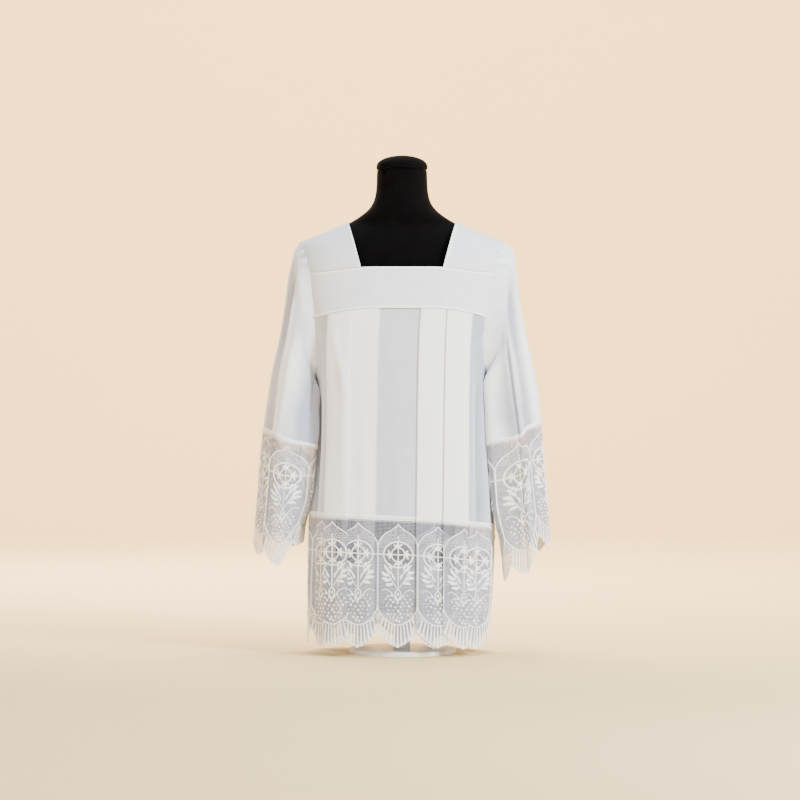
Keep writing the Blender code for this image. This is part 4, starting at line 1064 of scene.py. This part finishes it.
def leaned(points, innerX, side, turns, down):
    # the inner side of a sleeve lies against the body, and its cloth slips down beside the front fold
    degrees = np.degrees(turns)
    front, back = (bump(signedTurn(degrees - turn), bodyReach["width"])
                   for turn in (bodyReach["turn"], 360 - bodyReach["turn"]))
    fade = smoothStep((down - bodyReach["from"]) / bodyReach["over"])
    goal = innerX - bodyReach[side] * fade
    reach = np.maximum(np.abs(points[:, 0]) - goal, 0) * (front + back) * fade
    reach = reach * smoothStep((bodyReach["to"] - down) / bodyReach["fade"])
    slip = smoothStep((degrees - seamStep["turn"]) / seamStep["width"] + 0.5)
    slip = slip * smoothStep((seamStep["back"] - degrees) / seamStep["backWidth"]) - seamStep["share"]
    points = points.copy()
    points[:, 0] -= reach * (1 if side == "right" else -1)
    points[:, 2] -= seamStep[side] * slip * smoothStep((down - seamStep["from"]) / seamStep["over"])
    return points


def armholeEdge(right, front):
    edge = []
    for step in (np.linspace(1, 0, 13) if front else np.linspace(1.12, 2, 9)):
        across, turn, _ = shoulderPlace(1.0, step)
        edge.append(archPoints(across, turn, right, front))
    heights = [] if front else list(np.linspace(0.896, seams["yokeTop"] + 0.004, 6))
    heights += list(np.linspace(seams["yokeTop"] - (0.008 if front else 0.0), seams["armpit"], 30))
    for height in heights:
        if height > seams["yokeTop"]:
            edge.append(yokePoints(np.array([yokeEnd(height)]), height, right, front, np.zeros(1))[0])
        else:
            end = curveEnd(height, right, front)
            edge.append(bodyPoints(height, right, front, np.array([end]), np.zeros(1))[0])
    return np.array(edge)


def halfTurn(edge):
    # the share of half a turn at each point of an edge
    lengths = np.concatenate([[0], np.cumsum(np.linalg.norm(np.diff(edge, axis=0), axis=1))])
    return lengths / lengths[-1] * math.pi


def armholeAt(right, turns):
    # the armhole, from the shoulder tip down the front and up the back, at each turn round it
    front = armholeEdge(right, True)
    back = np.concatenate([front[:1], armholeEdge(right, False)])
    angles = np.concatenate([halfTurn(front), (2 * math.pi - halfTurn(back))[-2:0:-1]])
    points = np.concatenate([front, back[-2:0:-1]])
    loop = [np.interp(turns, angles, points[:, axis], period=2 * math.pi) for axis in range(3)]
    return np.stack(loop, axis=1) + [cloth["armholeGap"] * (1 if right else -1), 0, 0]


def sleeveCreaseOut(side, turns, down):
    degrees = np.degrees(turns)
    moved = np.zeros_like(turns)
    for turn, drift, width, rise, start, end in sleeveCreases[side]:
        strength = smoothStep((down - start) / creaseFade["start"])
        strength = strength * smoothStep((end + creaseFade["past"] - down) / creaseFade["end"])
        moved += rise * strength * bump(signedTurn(degrees - (turn + drift * down)), width)
    signed = signedTurn(degrees)
    inGather = smoothStep((signed - gathers["from"]) / gathers["edge"])
    inGather = inGather * smoothStep((gathers["to"] - signed) / gathers["edge"])
    uneven = 0.75 + 0.25 * np.sin(np.radians(signed * 3.1))
    pucker = np.cos(2 * math.pi * signed / gathers["wave"] + 0.8 * np.sin(np.radians(signed * 5)))
    fade = smoothStep(down / 0.012) * (1 - smoothStep((down - 0.02) / (gathers["length"] * uneven)))
    moved += gathers["rise"] * pucker * inGather * fade
    moved += creaseFade["swell"] * np.sin(np.radians(2 * degrees) + 9 * down) * smoothStep(down / 0.2)
    return moved * creaseScale["sleeve"]


def makeSleeve(right):
    side = sideName(right)
    table = sleeveRings[side]
    turns = np.arange(sleeveColumns) * 2 * math.pi / sleeveColumns
    rings = len(table["outerX"])

    def ringAt(down):
        return [np.interp(down, (np.arange(rings) + 1) / rings, table[name]) for name in ringColumns]

    downs = np.concatenate([[0, 0.006, 0.014, 0.024, 0.036, 0.05, 0.07, 0.095, 0.12],
                            np.linspace(1 / rings, 0.955, 44), 1 - np.array(hems["rows"]) / sleeveLength])
    loop, top = armholeAt(right, turns), ringPoints(ringAt(1 / rings), right, turns, 1 / rings)
    rows = []
    for down in downs:  # the cap runs from the armhole to the first ring
        row = loop + (top - loop) * down * rings if down < 1 / rings else ringPoints(ringAt(down), right, turns, down)
        rows.append(leaned(row, ringAt(down)[2], side, turns, down))
    rows[-1] = rows[-1] + [0, 0, cloth["seamGap"]]
    grid = settled(np.stack(rows), sleeve=True)
    axis = grid.mean(axis=1, keepdims=True)
    relief = np.stack([sleeveCreaseOut(side, turns, down) for down in downs])
    hem = hemRise(downs * sleeveLength)
    # painted shade on the sleeve: a lower lightness than the pleats, darker in the troughs of its creases and lighter
    # on their crests as painted highlight
    backingAndPaintedShade = np.clip(shades["sleeve"] + shades["sleeveCrease"] * relief, 0.05, 1)
    backingAndPaintedShade = np.maximum(backingAndPaintedShade, hem[:, None] / hems["rise"])
    grid = grid + gridNormals(grid, axis, closed=True) * relief[:, :, None]
    piece = clothShell("sleeve_cloth_" + side, grid, axis, backingAndPaintedShade, hem, closed=True)
    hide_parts("sleeve_" + side)

    places = np.linspace(0, lace["sleeveRepeats"] * lace["repeat"], sleeveColumns + 1)
    turns = places / places[-1] * 2 * math.pi
    rows = []
    for down in laceDowns:
        share = down / lace["depth"]
        ring = [a + (b - a) * share for a, b in zip(ringAt(1.0), table["cuff"])]
        rows.append(leaned(ringPoints(ring, right, turns, 1.0, dip=share), ring[2], side, turns, 1 + down))
    grid = np.stack(rows)
    axis = grid[:, :-1].mean(axis=1, keepdims=True)
    relief = np.stack([sleeveCreaseOut(side, turns, 1 + down) for down in laceDowns])
    grid = grid + gridNormals(grid, axis) * relief[:, :, None]
    half = places[-1] / 2
    for part, first, last in (("front", 0.0, half), ("back", half, 2 * half)):
        makeLace(f"sleeve_lace_{side}_{part}", grid, gridNormals(grid, axis), places, laceDowns, first, last,
                 sleeveLace, sleeveThreads)


for right in (False, True):
    makeSleeve(right)
print("sleeves made")

# Dress form

neckCap = {"radius": 0.0568, "bottom": 1.0723, "rim": 1.0790, "top": 1.1030, "bevel": 0.0008, "sides": 72}


def ringsRound(radii, heights, sides):
    # level rings of points round the middle, and the faces between them
    around = np.arange(sides) * 2 * math.pi / sides
    rings = [np.column_stack([r * np.cos(around), r * np.sin(around), np.full(sides, z)])
             for r, z in zip(radii, heights)]
    return np.concatenate(rings), gridFaces(len(rings), sides, closed=True).tolist()


def makeTorso():
    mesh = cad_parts["form_torso"].data.copy()
    welded = bmesh.new()
    welded.from_mesh(mesh)
    bmesh.ops.remove_doubles(welded, verts=welded.verts, dist=0.00002)
    welded.to_mesh(mesh)
    welded.free()
    mesh.materials.clear()
    mesh.materials.append(jerseyMaterial)
    mesh.shade_smooth()
    item = bpy.data.objects.new("form_jersey", mesh)
    bpy.context.scene.collection.objects.link(item)
    rounder = item.modifiers.new("rounder", "SUBSURF")
    rounder.levels = rounder.render_levels = 2
    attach(item, body)
    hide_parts("form_torso")


def makeCap():
    # rings down a half dome and a short side, with a middle point at the top and at the bottom
    turns = np.linspace(0, math.pi / 2, 12)[1:]
    radius, bevel, sides = neckCap["radius"], neckCap["bevel"], neckCap["sides"]
    radii = np.append(radius * np.sin(turns), [radius, radius - bevel])
    heights = neckCap["rim"] + (neckCap["top"] - neckCap["rim"]) * np.cos(turns)
    heights = np.append(heights, [neckCap["bottom"] + bevel, neckCap["bottom"]])
    points, faces = ringsRound(radii, heights, sides)
    top, bottom, low = len(points), len(points) + 1, len(points) - sides
    for side in range(sides):
        after = (side + 1) % sides
        faces += [[top, after, side], [bottom, low + side, low + after]]
    points = np.concatenate([points, [[0, 0, neckCap["top"]], [0, 0, neckCap["bottom"]]]])
    item = makeObject("form_cap", points, faces, jerseyMaterial)
    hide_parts("form_neck_cap")


makeTorso()
makeCap()
for node in ("form_post", "form_base"):
    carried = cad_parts[node]
    carried.data.materials.clear()
    carried.data.materials.append(enamel)
print("dress form made")

# Stage

studio = {
    "centre": (-0.0044, -0.06, 0.560), "distance": 6.2, "lens": 126.8,
    "radius": 7.8, "wall": 5.0, "bend": 2.4, "sides": 96,
    "warm": (1.0, 0.95, 0.88), "cool": (0.75, 0.88, 1.0), "air": (0.68, 0.85, 1.0), "airStrength": 0.70,
}
lights = {  # place, width and power
    "key": ((2.5, -2.5, 1.7), 0.8, 318),
    "fill": ((-2.2, -3.4, 1.3), 2.0, 80),
    "top": ((0.3, -0.5, 3.0), 1.2, 40),
    "back": ((-1.8, 3.2, 2.2), 1.6, 100),
    "wall": ((0.0, 1.6, 4.6), 3.0, 1150),
}


def makeStage():
    # a round floor that bends up into a wall on all sides
    turns = np.linspace(0, math.pi / 2, 20)
    bend, flat = studio["bend"], studio["radius"] - studio["bend"]
    radii = np.concatenate([[0.02, 0.8, 2.4], flat + bend * np.sin(turns), [studio["radius"]]])
    heights = np.concatenate([[0, 0, 0], bend - bend * np.cos(turns), [studio["wall"]]])
    points, faces = ringsRound(radii, heights, studio["sides"])
    mesh = bpy.data.meshes.new("backdrop")
    mesh.from_pydata(points.tolist(), [], faces + [list(range(studio["sides"]))])
    mesh.materials.append(backdropMaterial)
    mesh.shade_smooth()
    item = bpy.data.objects.new("backdrop", mesh)
    bpy.context.scene.collection.objects.link(item)


def aim(item, target):
    direction = np.array(target) - np.array(item.location)
    item.rotation_euler = Vector(direction).to_track_quat("-Z", "Y").to_euler()


def makeLights():
    for name, (place, size, power) in lights.items():
        light = bpy.data.lights.new(name, "AREA")
        light.size = size
        light.energy = power
        light.color = studio["warm"] if name == "wall" else studio["cool"]
        item = bpy.data.objects.new(name, light)
        item.location = place
        bpy.context.scene.collection.objects.link(item)
        aim(item, (0, studio["radius"], 1.2) if name == "wall" else (0, 0, 0.6))
        item.visible_camera = False
    world = bpy.data.worlds.new("studio")
    world.use_nodes = True
    background = world.node_tree.nodes["Background"]
    background.inputs["Color"].default_value = (*studio["air"], 1)
    background.inputs["Strength"].default_value = studio["airStrength"]
    bpy.context.scene.world = world


def makeCamera():
    camera = bpy.data.objects.new("camera", bpy.data.cameras.new("camera"))
    x, y, z = studio["centre"]
    camera.location = (x, y - studio["distance"], z)
    camera.rotation_euler = (math.pi / 2, 0, 0)
    camera.data.lens = studio["lens"]
    bpy.context.scene.collection.objects.link(camera)
    bpy.context.scene.camera = camera


makeStage()
makeLights()
makeCamera()
print("stage, lights and camera made")
